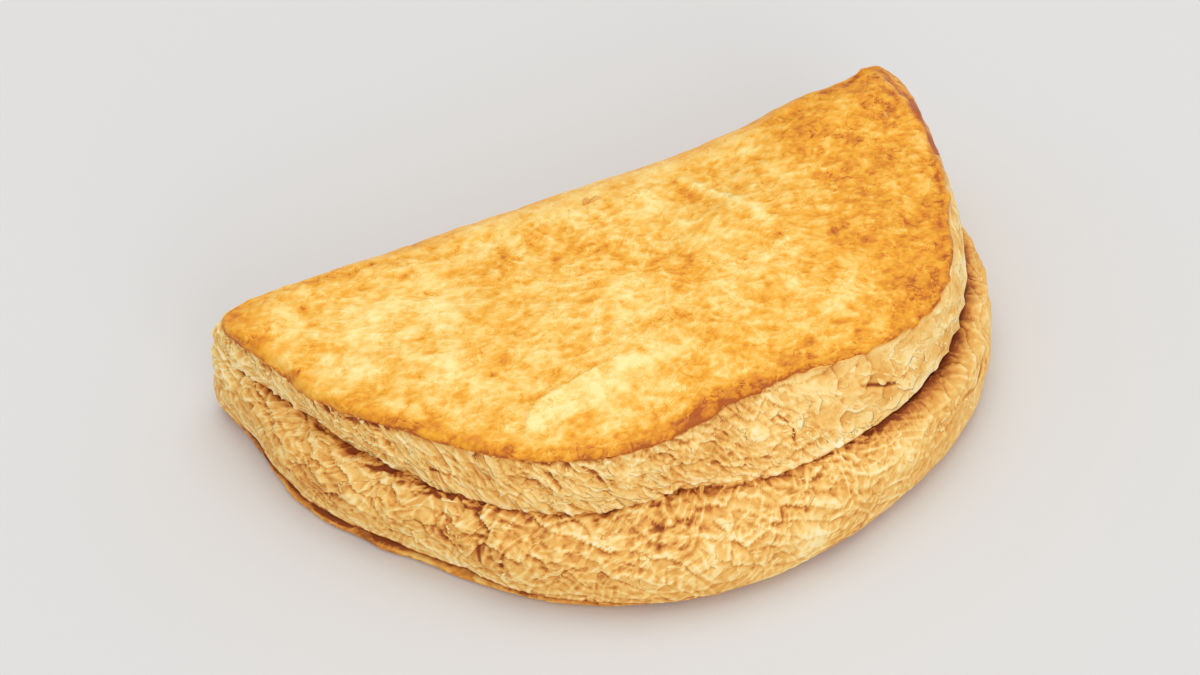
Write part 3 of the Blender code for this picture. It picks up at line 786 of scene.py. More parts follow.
lowerLeaf = {
    "columns": 1060, "underRows": 5, "footRows": 22, "ledgeRows": 54, "floorRows": 9, "coreRows": 3,
    "underReach": 50, "coreReach": 20, "coreShares": (0.2, 0.9), "seamRise": 0.9, "seamCurve": 1.5,
    "footWeight": 0.3, "weightRows": (0, 26),
    "tone": 0.54, "rightTone": (0.03, -30, 50), "leftTone": (0.05, -40, -90), "underTone": 0.42,
    # size round and up, seed; then the share of the finer one
    "blotches": ((2.2, 1.4, 99), (0.9, 0.9, 100)), "fineBlotches": 0.4,
    # painted shade at the seam: bearings where more of it falls on the left and the right, how dark and how
    # wide it is, a thin painted shade line at the seam, and painted shade in pits under it
    "leftSeam": (-94, -84, -44, -32), "rightSeam": (8, 34),
    "seamShadeAmounts": (0.12, 0.36, 0.06), "seamShadeWidths": (0.12, 0.09), "seamShadeLine": (0.22, 0.045),
    "pitShadeAmount": 0.75, "pitsFrom": (0.05, 0.55), "pitsAt": (1.94, 0.09), "pitBearings": (-76, -66, -50, -42),
    "cornerPale": 0.14, "cornerBearings": (-86, -96), "cornerLevels": (1.2, 1.7),
    # painted shade in the slit under the peeled layer, and a paler band above it
    "peelSlitShade": 0.85, "peelSlitShadeLevels": (0.56, 0.62, 0.74, 0.84),
    "peelPale": 0.16, "peelPaleLevels": (0.8, 0.86, 0.97, 1.06), "peelCrust": 0.95, "peelCrustLevel": 0.63,
    "crustHeights": (1.2, 2.6),
    "crustRagged": ((0.5, 3, 97), (0.35, 0.9, 98)),    # amount, length, seed
}


# The lower leaf: rows run from the underside's middle out to the foot, up over the ledge to the lip and
# on into the seam. Its tone is the crumb's less painted shade at the seam, in the pits under it and inside
# it, with painted shade in the peeled layer's slit.
def buildLowerLeaf():
    size = lowerLeaf
    underRows, footRows, coreRows = size["underRows"], size["footRows"], size["coreRows"]
    floor = np.linspace(0, 1, size["floorRows"], endpoint=False)
    core = np.linspace(*size["coreShares"], coreRows)
    foot = np.arange(footRows) / footRows
    inSeamLevels = np.full(size["floorRows"] + coreRows, 2)
    levels = np.concatenate([np.zeros(underRows), foot, 1 + ledgeShares(size["ledgeRows"]), inSeamLevels])
    under = np.linspace(size["underReach"], 0, underRows, endpoint=False)
    ends = [0] * (footRows + size["ledgeRows"])
    inner = np.concatenate([floor * section["seamDepth"], section["seamDepth"] + size["coreReach"] * core])
    deeper = np.concatenate([0 * under, ends, inner])
    rise = size["seamRise"]
    raised = np.concatenate([0 * under, ends, rise * floor ** size["seamCurve"], rise + 0 * core])
    weights = [0] * (underRows + 1) + [size["footWeight"]] * (footRows - 1)
    upLedge = ease(np.arange(size["ledgeRows"]), *size["weightRows"])
    weights = weights + list(lerp(size["footWeight"], 1, upLedge))
    weights = weights + seamWeights(floor) + [0] * coreRows
    grid, made = buildLeaf("lower", size["columns"], levels, deeper, raised, weights)
    bottom = np.array([0, plan["heartBack"], 0.0])
    inside = np.array([0, plan["heartBack"], section["seamHeight"] + rise])
    for row in range(underRows):
        grid[row] = lerp(bottom, grid[underRows], (row + 1) / (underRows + 1))
    lastOuter = len(grid) - coreRows - 1
    for row in range(coreRows):
        grid[lastOuter + 1 + row] = lerp(grid[lastOuter], inside, (row + 1) / (coreRows + 1))

    z = grid[..., 2]
    level, bearing, s, t = made["level"], made["bearing"], made["s"], made["t"]
    rightMore, *rightLimits = size["rightTone"]
    leftLess, *leftLimits = size["leftTone"]
    base = size["tone"] + rightMore * ease(bearing, *rightLimits) - leftLess * ease(bearing, *leftLimits)
    tone = crumbTone(made, base)
    inSeam = ease(made["deep"], *crumbShade["seamDepths"])
    (roundSize, upSize, seed), (fineRound, fineUp, fineSeed) = size["blotches"]
    blotchy = latticeNoise(s / roundSize, t / upSize, seed)
    blotchy = blotchy + size["fineBlotches"] * latticeNoise(s / fineRound, t / fineUp, fineSeed)
    # painted shade along the seam, darker and wider on the right, a thin painted shade line at its mouth,
    # painted shade in pits under it on the left, and painted shade inside the seam
    leftSeam = window(bearing, *size["leftSeam"])
    rightSeam = ease(bearing, *size["rightSeam"])
    steady, moreRight, moreLeft = size["seamShadeAmounts"]
    width, wider = size["seamShadeWidths"]
    shadeDepth = steady + moreRight * rightSeam + moreLeft * leftSeam
    paintedSeamShade = bell(level, 2, width + wider * rightSeam) * shadeDepth
    paintedPitShade = size["pitShadeAmount"] * ease(blotchy, *size["pitsFrom"]) * bell(level, *size["pitsAt"])
    paintedPitShade = paintedPitShade * window(bearing, *size["pitBearings"])
    paintedSeamShade = paintedSeamShade + size["seamShadeLine"][0] * bell(level, 2, size["seamShadeLine"][1])
    tone = tone - paintedSeamShade - paintedPitShade - crumbShade["seam"] * inSeam
    corner = ease(bearing, *size["cornerBearings"]) * ease(level, *size["cornerLevels"])
    tone = tone + size["cornerPale"] * corner
    peeled = np.clip(made["peel"], 0, 1)
    # painted shade in the slit under the peeled layer
    slitShade = window(level, *size["peelSlitShadeLevels"]) * peeled
    palePeel = window(level, *size["peelPaleLevels"]) * peeled
    tone = tone - size["peelSlitShade"] * slitShade + size["peelPale"] * palePeel
    tone = np.where(z < 0.01, size["underTone"], tone)
    ragged = 0
    for amount, length, seed in size["crustRagged"]:
        ragged = ragged + amount * latticeNoise(s / length, 0 * z, seed)
    lowest, highest = size["crustHeights"]
    crust = 1 - ease(z, lowest + ragged, highest + ragged)
    peeledCrust = size["peelCrust"] * (level < size["peelCrustLevel"]) * (1 - slitShade)
    crust = lerp(crust, peeledCrust, np.clip(2 * made["peel"], 0, 1))
    values = {"tone": withPoles(tone, size["underTone"], 0.0), "crust": withPoles(crust, 1.0, 0.0)}
    return shellPiece("lowerLeaf", grid[None], bottom[None], inside[None], values), grid, made


upperLeaf = {
    "columns": 1080, "coreRows": 3, "roofRows": 12, "sideRows": 50, "rimRows": 8, "coverRows": 4,
    "seamFall": 1.0, "seamCurve": 1.5, "underSkin": 3,
    "sideWeights": (0.5, 0.95), "rimWeights": (0.6, 0.35),    # of the first row and of the rest
    "tone": 0.5, "rightTone": (0.1, -20, 45), "leftTone": (0.04, 40, 90),
    # amount, then the level and half-width in levels
    "lip": (0.15, 3.08, 0.09), "skinShadow": (0.45, 0.1, 0.11), "shadowFades": (1, 0.4, -15, 10),
    "cream": (0.16, 3.8, 0.12), "creamBearings": (-110, -95, -60, -45),
    "petals": (0.14, 4.5, 3.5, 96), "petalsFrom": (0, 25),    # amount, size round and up, seed
}


# The upper leaf: rows run from the seam's depth out along its roof to the mouth, up the side and over the
# rim, and end under the skin. Its tone is the crumb's with a paler lip, a painted shadow under the skin's
# edge, partly painted light towards the left end, and painted shade inside the seam.
def buildUpperLeaf():
    size = upperLeaf
    coreRows, sideRows, rimRows = size["coreRows"], size["sideRows"], size["rimRows"]
    roof = np.linspace(1, 0, size["roofRows"], endpoint=False)
    side = np.arange(sideRows) / sideRows
    rim = np.arange(rimRows) / rimRows
    cover = np.linspace(0, 1, size["coverRows"] + 1)[:-1]
    levels = np.concatenate([np.full(coreRows + size["roofRows"], 3), 3 + side, 4 + rim, 5 + cover])
    depth = np.concatenate([np.full(coreRows, 1), roof, 0 * side, 0 * rim, 0 * cover])
    deeper = depth * section["seamDepth"]
    raised = -size["seamFall"] * depth ** size["seamCurve"]
    firstSide, restSide = size["sideWeights"]
    firstRim, restRim = size["rimWeights"]
    weights = [0] * coreRows + seamWeights(roof) + [firstSide] + [restSide] * (sideRows - 1)
    weights = weights + [firstRim] + [restRim] * (rimRows - 1) + [0] * size["coverRows"]
    grid, made = buildLeaf("upper", size["columns"], levels, deeper, raised, weights)
    heart = plan["heartBack"]
    low = np.array([[0, heart, section["seamHeight"] + size["seamFall"]]])
    high = np.array([[0, heart, crown(0, heart) - size["underSkin"]]])
    for row in range(coreRows):
        grid[row] = lerp(grid[coreRows], low[0], 1 - (row + 1) / (coreRows + 1))

    level, bearing = made["level"], made["bearing"]
    rightMore, *rightLimits = size["rightTone"]
    leftMore, *leftLimits = size["leftTone"]
    # paler towards the left end: partly the pale cream of that strip, partly painted light on a side that
    # faces away from the lamps
    base = size["tone"] + rightMore * ease(bearing, *rightLimits) + leftMore * ease(-bearing, *leftLimits)
    tone = crumbTone(made, base)
    lipPale, lipLevel, lipWidth = size["lip"]
    shadeDepth, below, darkWidth = size["skinShadow"]
    underSkin = bell(level, skinEdge(made["turn"])[None, :] - below, darkWidth)
    leftShare, rightShare, *fadeLimits = size["shadowFades"]
    pale, creamLevel, creamWidth = size["cream"]
    creamBand = bell(level, creamLevel, creamWidth) * window(bearing, *size["creamBearings"])
    petalShare, roundSize, upSize, seed = size["petals"]
    petals = latticeNoise(made["s"] / roundSize, made["t"] / upSize, seed)
    petals = petals * ease(bearing, *size["petalsFrom"])
    tone = tone + lipPale * bell(level, lipLevel, lipWidth) + petalShare * petals + pale * creamBand
    tone = tone - shadeDepth * underSkin * lerp(leftShare, rightShare, ease(bearing, *fadeLimits))
    # painted shade inside the seam, under the upper leaf's roof
    tone = tone - crumbShade["seam"] * ease(made["deep"], *crumbShade["seamDepths"])
    values = {"tone": withPoles(tone, 0.0, 0.5), "crust": withPoles(0 * tone, 0.0, 0.0)}
    return shellPiece("upperLeaf", grid[None], low, high, values), grid, made


# how darkly the skin is baked: a steady value, plus bells for the patches, a band exp(-(d / width)^2) at
# the distance d from the torn edge, the scorches and two clouds, softened where it is darkest; the crease
# gets a painted highlight, and the crest painted light on its raised side and a painted shade line past its
# step
def skinBake(x, y, z, cut, bearing, fromEdge, marks):
    bake = np.full(x.shape, glaze["baked"])
    for amount, centreX, centreY, widthX, widthY in glaze["patches"]:
        bake = bake + amount * bell(x, centreX, widthX) * bell(y, centreY, widthY)
    for amount, start, end in (glaze["rightBaked"], glaze["farRightBaked"]):
        bake = bake + amount * ease(x, start, end)
    # painted highlight along the crease's ridge
    bake = bake - glaze["creaseHighlight"] * marks["crease"]
    amount, size, seed = glaze["bandNoise"]
    uneven = 1 + amount * latticeNoise(bearing / size + glaze["wrinkleShift"], 0 * x, seed)
    band = lerp(*glaze["band"], bell(bearing, *glaze["bandDarkest"])) * cut * uneven
    amount, start, end = glaze["bandFades"]
    band = band * (1 - amount * ease(bearing, start, end))
    amount, width = glaze["edgeBaked"]
    bake = bake + band * np.exp(-(fromEdge / glaze["bandWidth"]) ** 2)
    bake = bake + amount * cut * np.exp(-(fromEdge / width) ** 2)
    bake = bake + marks["scorched"] - glaze["streaksPale"] * marks["streaks"]
    bake = bake + glaze["dotsBaked"] * marks["dots"]
    amount, start, end = glaze["backBaked"]
    bake = bake + amount * ease(y, start, end)
    amount, start, end = glaze["footBaked"]
    bake = bake + amount * (1 - ease(z, start, end)) * (1 - cut)
    amount, start, end = glaze["mottleFades"]
    mottled = 1 - amount * ease(x, start, end)
    shift = glaze["mottleShift"]
    amount, size, seed = glaze["broadMottle"]
    bake = bake + amount * mottled * cloud(x / size + shift, y / size + shift, seed, 2)
    amount, size, seed = glaze["fineMottle"]
    bake = bake + amount * mottled * cloud(x / size + shift, (y + z) / size + shift, seed, 2)
    bake = bake - glaze["wrinklesPale"] * marks["wrinkles"] / glaze["wrinkle"][1]
    # painted light on the crest's raised side and a painted shade line just past its step
    offCrest, crestShare = marks["offCrest"], marks["crestShare"]
    crestShadeLine = np.exp(-(offCrest - 1) ** 2) * (crestShare > 0) * (crestShare < 1)
    bake = bake - glaze["crestLightAndShade"] * marks["crest"] / glaze["crestHeight"] * (offCrest < 0)
    bake = bake + glaze["crestLightAndShade"] * crestShadeLine
    return bake - 0.5 * np.maximum(bake - glaze["softAbove"], 0)


# The glazed skin: rows run along its inner face from the heart out to the torn edge, and back along its
# outer face to the heart. It is pushed out by lumps + wrinkles + crest + crease + crags - dots - scorches,
# and the inner face lies one thickness deeper.
def buildSkin():
    turn = turnsRound(glaze["columns"], glaze["cutDensity"])
    edge = skinEdge(turn)
    lengths = glaze["foldLengths"]
    start = np.interp(edge, range(6), lengths)

    # levels at shares of the way from the torn edge to the rim, evenly by length down the fold
    def levelsToRim(share):
        return np.interp(lerp(start[None, :], lengths[-1], share[:, None]), lengths, range(6))

    edgeLevels = levelsToRim(np.linspace(0, 1, glaze["edgeRows"]) ** glaze["edgeSpacing"])
    topShares = np.linspace(0, 1, glaze["topRows"] + 2)[1:-1, None]
    topLevels = 5 + topShares ** glaze["topSpacing"] + 0 * edge[None, :]
    outerLevels = np.concatenate([edgeLevels, topLevels])
    roofShares = np.linspace(1, 0, glaze["innerRows"] - glaze["innerEdgeRows"], endpoint=False)
    inwards = 5 + glaze["roofReach"] * roofShares[:, None] ** glaze["roofSpacing"] + 0 * edge[None, :]
    innerLevels = np.concatenate([inwards, levelsToRim(np.linspace(1, 0, glaze["innerEdgeRows"]))])
    level = np.concatenate([innerLevels, outerLevels])
    inner = np.concatenate([np.ones(glaze["innerRows"]), np.zeros(len(outerLevels))])[:, None]
    grid, cut, bearing = pieSurface(turn[None, :], level)
    x, y, z = grid[..., 0], grid[..., 1], grid[..., 2]

    offset = relief["offset"]
    lumpSize, lumpDepth = relief["topLump"]
    onTop = ease(level, 5, 5.11)
    lumps = lumpDepth * onTop * latticeNoise(x / lumpSize + offset, y / lumpSize + offset, relief["seed"] + 2)
    sideLumps = (1 - onTop) * (1 - cut) * foldLumps(x, z)
    wrinkles = 0
    shift = glaze["wrinkleShift"]
    for size, depth, seed in (glaze["wrinkle"], glaze["fineWrinkle"]):
        wrinkles = wrinkles + depth * cloud(x / size + shift, (y + z) / size + shift, seed, 2)
    offCrest, crestShare = offLine(x, y, glaze["crest"])
    gentle = np.exp(offCrest / glaze["crestSlope"])
    crestSide = np.where(offCrest < 0, gentle, np.exp(-offCrest / glaze["crestStep"]))
    crestPart = np.clip(glaze["crestStart"] + (1 - glaze["crestStart"]) * crestShare, 0, 1)
    crest = glaze["crestHeight"] * crestSide * np.sin(np.pi * crestPart) ** 0.7
    crest = crest * (np.abs(offCrest) < glaze["crestReach"])
    crease = np.exp(-(offLine(x, y, glaze["crease"])[0] / glaze["creaseWidth"]) ** 2)
    rimCrags = packedCrags(bearing, z) * glaze["rimCrags"] * cut * (1 - ease(level, 4.7, 5.03))
    streaks = streakField(x, y + z, glaze["streaks"], bearing) * ease(level, 4.6, 5.02)
    size = glaze["dotSize"]
    dots = np.maximum(latticeNoise(x / size + offset, (y + z) / size + offset, glaze["dotSeed"]) - 0.5, 0) * 2
    push, size = glaze["scorchPush"]
    firstSeed, secondSeed = glaze["scorchSeeds"]
    pushedX = x + push * latticeNoise(x / size + offset, y / size + offset, firstSeed)
    pushedY = y + push * latticeNoise(x / size + offset, y / size + offset, secondSeed)
    scorched = np.zeros(level.shape)
    sunk = np.zeros(level.shape)
    for points, halfWidth, darker, depth in glaze["scorches"]:
        away, share = offLine(pushedX, pushedY, points)
        mark = lineMark(away, share, halfWidth, glaze["scorchEnds"]) * (z > glaze["scorchLowest"])
        scorched = scorched + darker * mark
        sunk = sunk + depth * mark
    height = lumps + sideLumps + wrinkles + (crest + glaze["creaseHeight"] * crease) * onTop + rimCrags
    height = height + streaks - glaze["dotDepth"] * dots - sunk + glaze["proud"]
    height = height - (glaze["thickness"] + glaze["thickerOnTop"] * ease(level, 4.95, 5.1)) * inner
    outwards = gridNormals(grid) * (1 - 2 * inner)[..., None]    # the inner rows run the other way
    moved = grid + outwards * height[..., None]
    moved[..., 2] = np.maximum(moved[..., 2], glaze["least"])

    fromEdge = np.linalg.norm(grid - grid[glaze["innerRows"]][None], axis=-1)
    marks = {"crease": crease, "scorched": scorched, "streaks": streaks, "dots": dots, "wrinkles": wrinkles,
             "crest": crest, "offCrest": offCrest, "crestShare": crestShare}
    bake = skinBake(x, y, z, cut, bearing, fromEdge, marks)
    bake = lerp(bake, glaze["innerBaked"], inner)
    heart = plan["heartBack"]
    low = np.array([[0, heart, crown(0, heart) - glaze["heartDepth"]]])
    high = np.array([[0, heart, crown(0, heart) + glaze["proud"]]])
    values = {"bake": withPoles(bake, glaze["innerBaked"], glaze["heartBaked"])}
    full = np.ones(level.shape)
    made = dict(level=level, bearing=bearing * full, cut=cut * full, deep=inner + 0 * level)
    return shellPiece("glazedSkin", moved[None], low, high, values), moved, made


flakeShape = {
    "rings": 6, "loop": 8, "thickness": 0.12, "pathHalf": 0.42, "thinnest": 0.02, "unevenTaper": 0.3,
    "bend": 0.35, "curve": 1.6, "sunk": 0.14, "endSunk": 0.1, "endSlip": 0.1,
    "normalRounds": 3, "gridRounds": 4, "leastRowStep": 0.1,
    "leastCut": 0.3, "toneSpread": 0.1, "edgePale": 0.25, "edgeDark": 0.12,
}


# values of a grid at fractional rows and columns, blended between the four nearest
def sampleGrid(field, row, column):
    rows, columns = field.shape[:2]
    row = np.clip(row, 0, rows - 1.001)
    r = np.floor(row).astype(int)
    c = np.floor(column).astype(int)
    fr = (row - r)[..., None]
    fc = (column - c)[..., None]
    field = field.reshape(rows, columns, -1)
    low = lerp(field[r, c % columns], field[r, (c + 1) % columns], fc)
    high = lerp(field[r + 1, c % columns], field[r + 1, (c + 1) % columns], fc)
    return lerp(low, high, fr)


# one value for each flake, shaped to go with rings and points round a ring
def eachFlake(values):
    return values[:, None, None]


# Thin curled flakes grown on a leaf: each is a lens-shaped loop carried along a short path on the
# surface, raised more towards its lower edge, and tapering to a pole at both ends.
def buildFlakes(name, grid, made, recipe):
    shape = flakeShape
    rng = np.random.default_rng(recipe["seed"])
    level, bearing = made["level"][:, 0], made["bearing"][0]
    (lowest, highest), (left, right) = recipe["levels"], recipe["bearings"]
    rowsUsed = np.nonzero((level >= lowest) & (level <= highest) & (made["deep"][:, 0] == 0))[0]
    onCut = made["cut"][0] > shape["leastCut"]
    columnsUsed = np.nonzero(onCut & (bearing > left) & (bearing < right))[0]
    count = recipe["count"]
    row = rng.uniform(rowsUsed[0], rowsUsed[-1], count)
    column = rng.choice(columnsUsed, count) + rng.uniform(0, 1, count)
    for k, (x, y) in enumerate(recipe.get("spots", ())):
        away = np.hypot(grid[rowsUsed, :, 0] - x, grid[rowsUsed, :, 1] - y)
        nearestRow, nearestColumn = np.unravel_index(np.argmin(away), away.shape)
        row[k] = rowsUsed[nearestRow]
        column[k] = nearestColumn
    length = rng.uniform(*recipe["length"], count)
    width = length * rng.uniform(*recipe["width"], count)
    angle = np.radians(rng.normal(recipe["angle"], recipe["spread"], count))
    curl = rng.uniform(*recipe["curl"], count)
    smooth = soften(gridNormals(grid), shape["normalRounds"])
    columnStep = np.linalg.norm(np.roll(grid, -4, axis=1) - np.roll(grid, 4, axis=1), axis=-1) / 8
    rowStep = np.linalg.norm(np.gradient(soften(grid, shape["gridRounds"]), axis=0), axis=-1)
    stepC = sampleGrid(columnStep, row, column)[..., 0]
    stepR = np.maximum(sampleGrid(rowStep, row, column)[..., 0], shape["leastRowStep"])

    p = np.linspace(-shape["pathHalf"], shape["pathHalf"], shape["rings"])[None, :, None]
    phi = (np.arange(shape["loop"]) / shape["loop"] * 2 * np.pi)[None, None, :]
    uneven = 1 + shape["unevenTaper"] * rng.uniform(-1, 1, (count, shape["rings"], 1))
    taper = np.sqrt(np.maximum(1 - (2 * p) ** 2, shape["thinnest"])) * uneven
    q = 0.5 * np.cos(phi) * taper
    bend = eachFlake(rng.uniform(-shape["bend"], shape["bend"], count)) * (p ** 2) * 4
    along = eachFlake(length) * p + 0 * q
    across = eachFlake(width) * (q + bend)

    # the point on the leaf that lies along and across from the flake's middle, lifted off the surface
    def carry(along, across, lift):
        s = along * np.cos(eachFlake(angle)) - across * np.sin(eachFlake(angle))
        t = along * np.sin(eachFlake(angle)) + across * np.cos(eachFlake(angle))
        r = eachFlake(row) + t / eachFlake(stepR)
        c = eachFlake(column) + s / eachFlake(stepC)
        return sampleGrid(grid, r, c) + sampleGrid(smooth, r, c) * lift[..., None]

    droop = np.cos(phi) * 0.5 * taper
    lift = eachFlake(curl) * np.maximum(0.5 - droop, 0) ** shape["curve"] - shape["sunk"]
    lift = lift + 0.5 * shape["thickness"] * np.sin(phi) * taper
    rings = carry(along, across, lift)
    ends = []
    for side in (-0.5, 0.5):
        endP = np.full((count, 1, 1), side)
        slip = eachFlake(rng.uniform(-shape["endSlip"], shape["endSlip"], count))
        endAcross = eachFlake(width) * slip + 0 * endP
        ends.append(carry(eachFlake(length) * endP, endAcross, 0 * endP - shape["endSunk"])[:, 0, 0])
    tone = recipe["tone"] + rng.uniform(-shape["toneSpread"], shape["toneSpread"], (count, 1, 1))
    tone = tone + shape["edgePale"] * (0.5 - droop) - shape["edgeDark"] + 0 * p
    tone = np.concatenate([tone.reshape(count, -1), np.full((count, 2), recipe["tone"])], axis=1)
    return shellPiece(name, rings, ends[0], ends[1], {"tone": tone, "crust": 0 * tone})


flakeRecipes = {
    "upperRidges": {"on": "upper", "seed": 101, "count": 150, "levels": (3.05, 3.92), "bearings": (-98, -18),
                    "length": (4, 9), "width": (0.16, 0.28), "angle": -36, "spread": 9, "curl": (0.1, 0.4),
                    "tone": 0.6},
    "upperCrumbs": {"on": "upper", "seed": 102, "count": 220, "levels": (3.03, 3.95), "bearings": (-45, 45),
                    "length": (1.4, 3.4), "width": (0.35, 0.8), "angle": -28, "spread": 32,
                    "curl": (0.05, 0.35), "tone": 0.62},
    "upperPetals": {"on": "upper", "seed": 103, "count": 60, "levels": (3.05, 3.9), "bearings": (8, 96),
                    "length": (4, 8), "width": (0.4, 0.75), "angle": 25, "spread": 28, "curl": (0.05, 0.35),
                    "tone": 0.68},
    "lowerCurls": {"on": "lower", "seed": 104, "count": 260, "levels": (1.02, 1.93), "bearings": (-98, 98),
                   "length": (1.6, 4.2), "width": (0.3, 0.6), "angle": -15, "spread": 45,
                   "curl": (0.05, 0.3), "tone": 0.6},
    "topFlakes": {"on": "skin", "seed": 106, "count": 5, "levels": (5.0, 5.9), "bearings": (-180, 180),
                  "length": (2.2, 3.6), "width": (0.35, 0.5), "angle": 0, "spread": 25, "curl": (0.3, 0.7),
                  "tone": 0.34, "spots": ((-3.3, 5.7), (-1.5, 4.6), (60.5, 7.6), (63.8, 8.8), (62, -5.5))},
}


# linear light from a colour written as three numbers of 0 to 255
def pigment(red, green, blue):
    shown = np.array([red, green, blue]) / 255
    linear = np.where(shown <= 0.04045, shown / 12.92, ((shown + 0.055) / 1.055) ** 2.4)
    return (*linear.tolist(), 1)


crumbFinish = {
    "stops": ((0.0, (138, 62, 22)), (0.2, (191, 115, 48)), (0.4, (226, 163, 78)), (0.58, (241, 192, 107)),
              (0.75, (250, 220, 149)), (1.0, (254, 238, 196))),
    "strokes": ((430, 0.03, 0.11), (380, 0.025, -0.14)),
    "crustStops": ((0.0, (160, 78, 22)), (0.5, (228, 146, 54)), (1.0, (250, 200, 104))),
    "roughness": 0.62, "specular": 0.2, "bump": 0.2,
    # scale, detail, roughness and distortion of each noise
    "grain": (700, 3, 0.6, 0.8), "grainShare": 0.36,
    "patches": (80, 4, 0.6, 0.4), "patchRange": (0.34, 0.66), "patchShare": 0.26,
}

skinFinish = {
    "stops": ((0.0, (252, 232, 158)), (0.25, (251, 213, 124)), (0.48, (247, 188, 80)), (0.66, (240, 166, 42)),
              (0.84, (221, 136, 32)), (1.0, (180, 90, 27))),
    "roughness": 0.45, "specular": 0.22, "bump": 0.2,
    # scale, share, distortion and detail of each noise; scale, half-width and share of the thin strokes
    "noises": ((210, 0.035, 0.6, 2), (400, 0.06, 0.5, 2), (850, 0.045, 0.3, 1)),
    "noiseRoughness": 0.55, "noiseRange": (0.42, 0.58),
    "strokeTurn": (0, 0, 0.46), "strokeStretch": (0.85, 1.15, 1),
    "strokes": ((300, 0.03, 0.2), (360, 0.025, -0.2), (165, 0.035, 0.11), (130, 0.03, -0.12)),
}

# detail, roughness and distortion of the strokes' noises, how much coarser the one is that keeps them,
# and the range in which it does
strokeFinish = {"noise": (1, 0.5, 0.9), "keeperScale": 0.45, "keeperRange": (0.5, 0.58)}
bumpDistance = 0.0002


# a node at a place of the node view, with its settings and the values of its sockets
def addNode(tree, kind, place, settings=None, inputs=None):
    node = tree.nodes.new(kind)
    node.location = place
    for label, value in (settings or {}).items():
        setattr(node, label, value)
    for label, value in (inputs or {}).items():
        node.inputs[label].default_value = value
    return node


# one sum, product or the like of two values, each a number or another node's output
def addMath(tree, operation, first, second, place):
    node = addNode(tree, "ShaderNodeMath", place, {"operation": operation})
    for socket, value in zip(node.inputs, (first, second)):
        if isinstance(value, (int, float)):
            socket.default_value = value
        else:
            tree.links.new(value, socket)
    return node.outputs[0]


# a noise read at a vector; its make is scale, detail, roughness and distortion
def addNoise(tree, vector, make, place):
    labels = ("Scale", "Detail", "Roughness", "Distortion")
    node = addNode(tree, "ShaderNodeTexNoise", place, None, dict(zip(labels, make)))
    tree.links.new(vector, node.inputs["Vector"])
    return node.outputs["Fac"]


# smooth step of a value from one range to another
def addRange(tree, value, before, after, place):
    labels = ("From Min", "From Max", "To Min", "To Max")
    node = addNode(tree, "ShaderNodeMapRange", place, {"interpolation_type": "SMOOTHSTEP"},
                   dict(zip(labels, (*before, *after))))
    tree.links.new(value, node.inputs["Value"])
    return node.outputs["Result"]


# colour of a ramp at a value; its stops are a position and a colour each
def addRamp(tree, value, stops, place):
    node = addNode(tree, "ShaderNodeValToRGB", place)
    ramp = node.color_ramp
    while len(ramp.elements) < len(stops):
        ramp.elements.new(0.5)
    for element, (position, colour) in zip(ramp.elements, stops):
        element.position = position
        element.color = pigment(*colour)
    tree.links.new(value, node.inputs["Fac"])
    return node.outputs["Color"]


# small bumps on the shader from a height
def addBump(tree, height, strength, shader, place):
    node = addNode(tree, "ShaderNodeBump", place, None, {"Strength": strength, "Distance": bumpDistance})
    tree.links.new(height, node.inputs["Height"])
    tree.links.new(node.outputs["Normal"], shader.inputs["Normal"])


# thin curly strokes: a line where one noise passes its middle value, kept only where another is high
def addStrokes(tree, vector, scale, halfWidth, share, place):
    x, y = place
    make = strokeFinish["noise"]
    line = addNoise(tree, vector, (scale, *make), (x, y))
    keeper = addNoise(tree, vector, (scale * strokeFinish["keeperScale"], *make), (x, y - 150))
    centred = addMath(tree, "SUBTRACT", line, 0.5, (x + 150, y))
    away = addMath(tree, "ABSOLUTE", centred, 0, (x + 300, y))
    drawn = addRange(tree, away, (0, halfWidth), (share, 0), (x + 450, y))
    kept = addRange(tree, keeper, strokeFinish["keeperRange"], (0, 1), (x + 450, y - 150))
    return addMath(tree, "MULTIPLY", drawn, kept, (x + 600, y))


# a value with all strokes of a finish added to it
def withStrokes(tree, value, vector, strokes, x):
    for k, (scale, halfWidth, share) in enumerate(strokes):
        drawn = addStrokes(tree, vector, scale, halfWidth, share, (-1200, -700 - 350 * k))
        value = addMath(tree, "ADD", value, drawn, (x, -200 * k))
    return value


# a new material and its shader
def newMaterial(name, roughness, specular):
    material = bpy.data.materials.new(name)
    material.use_nodes = True
    shader = material.node_tree.nodes["Principled BSDF"]
    shader.inputs["Roughness"].default_value = roughness
    shader.inputs["Specular IOR Level"].default_value = specular
    return material, shader


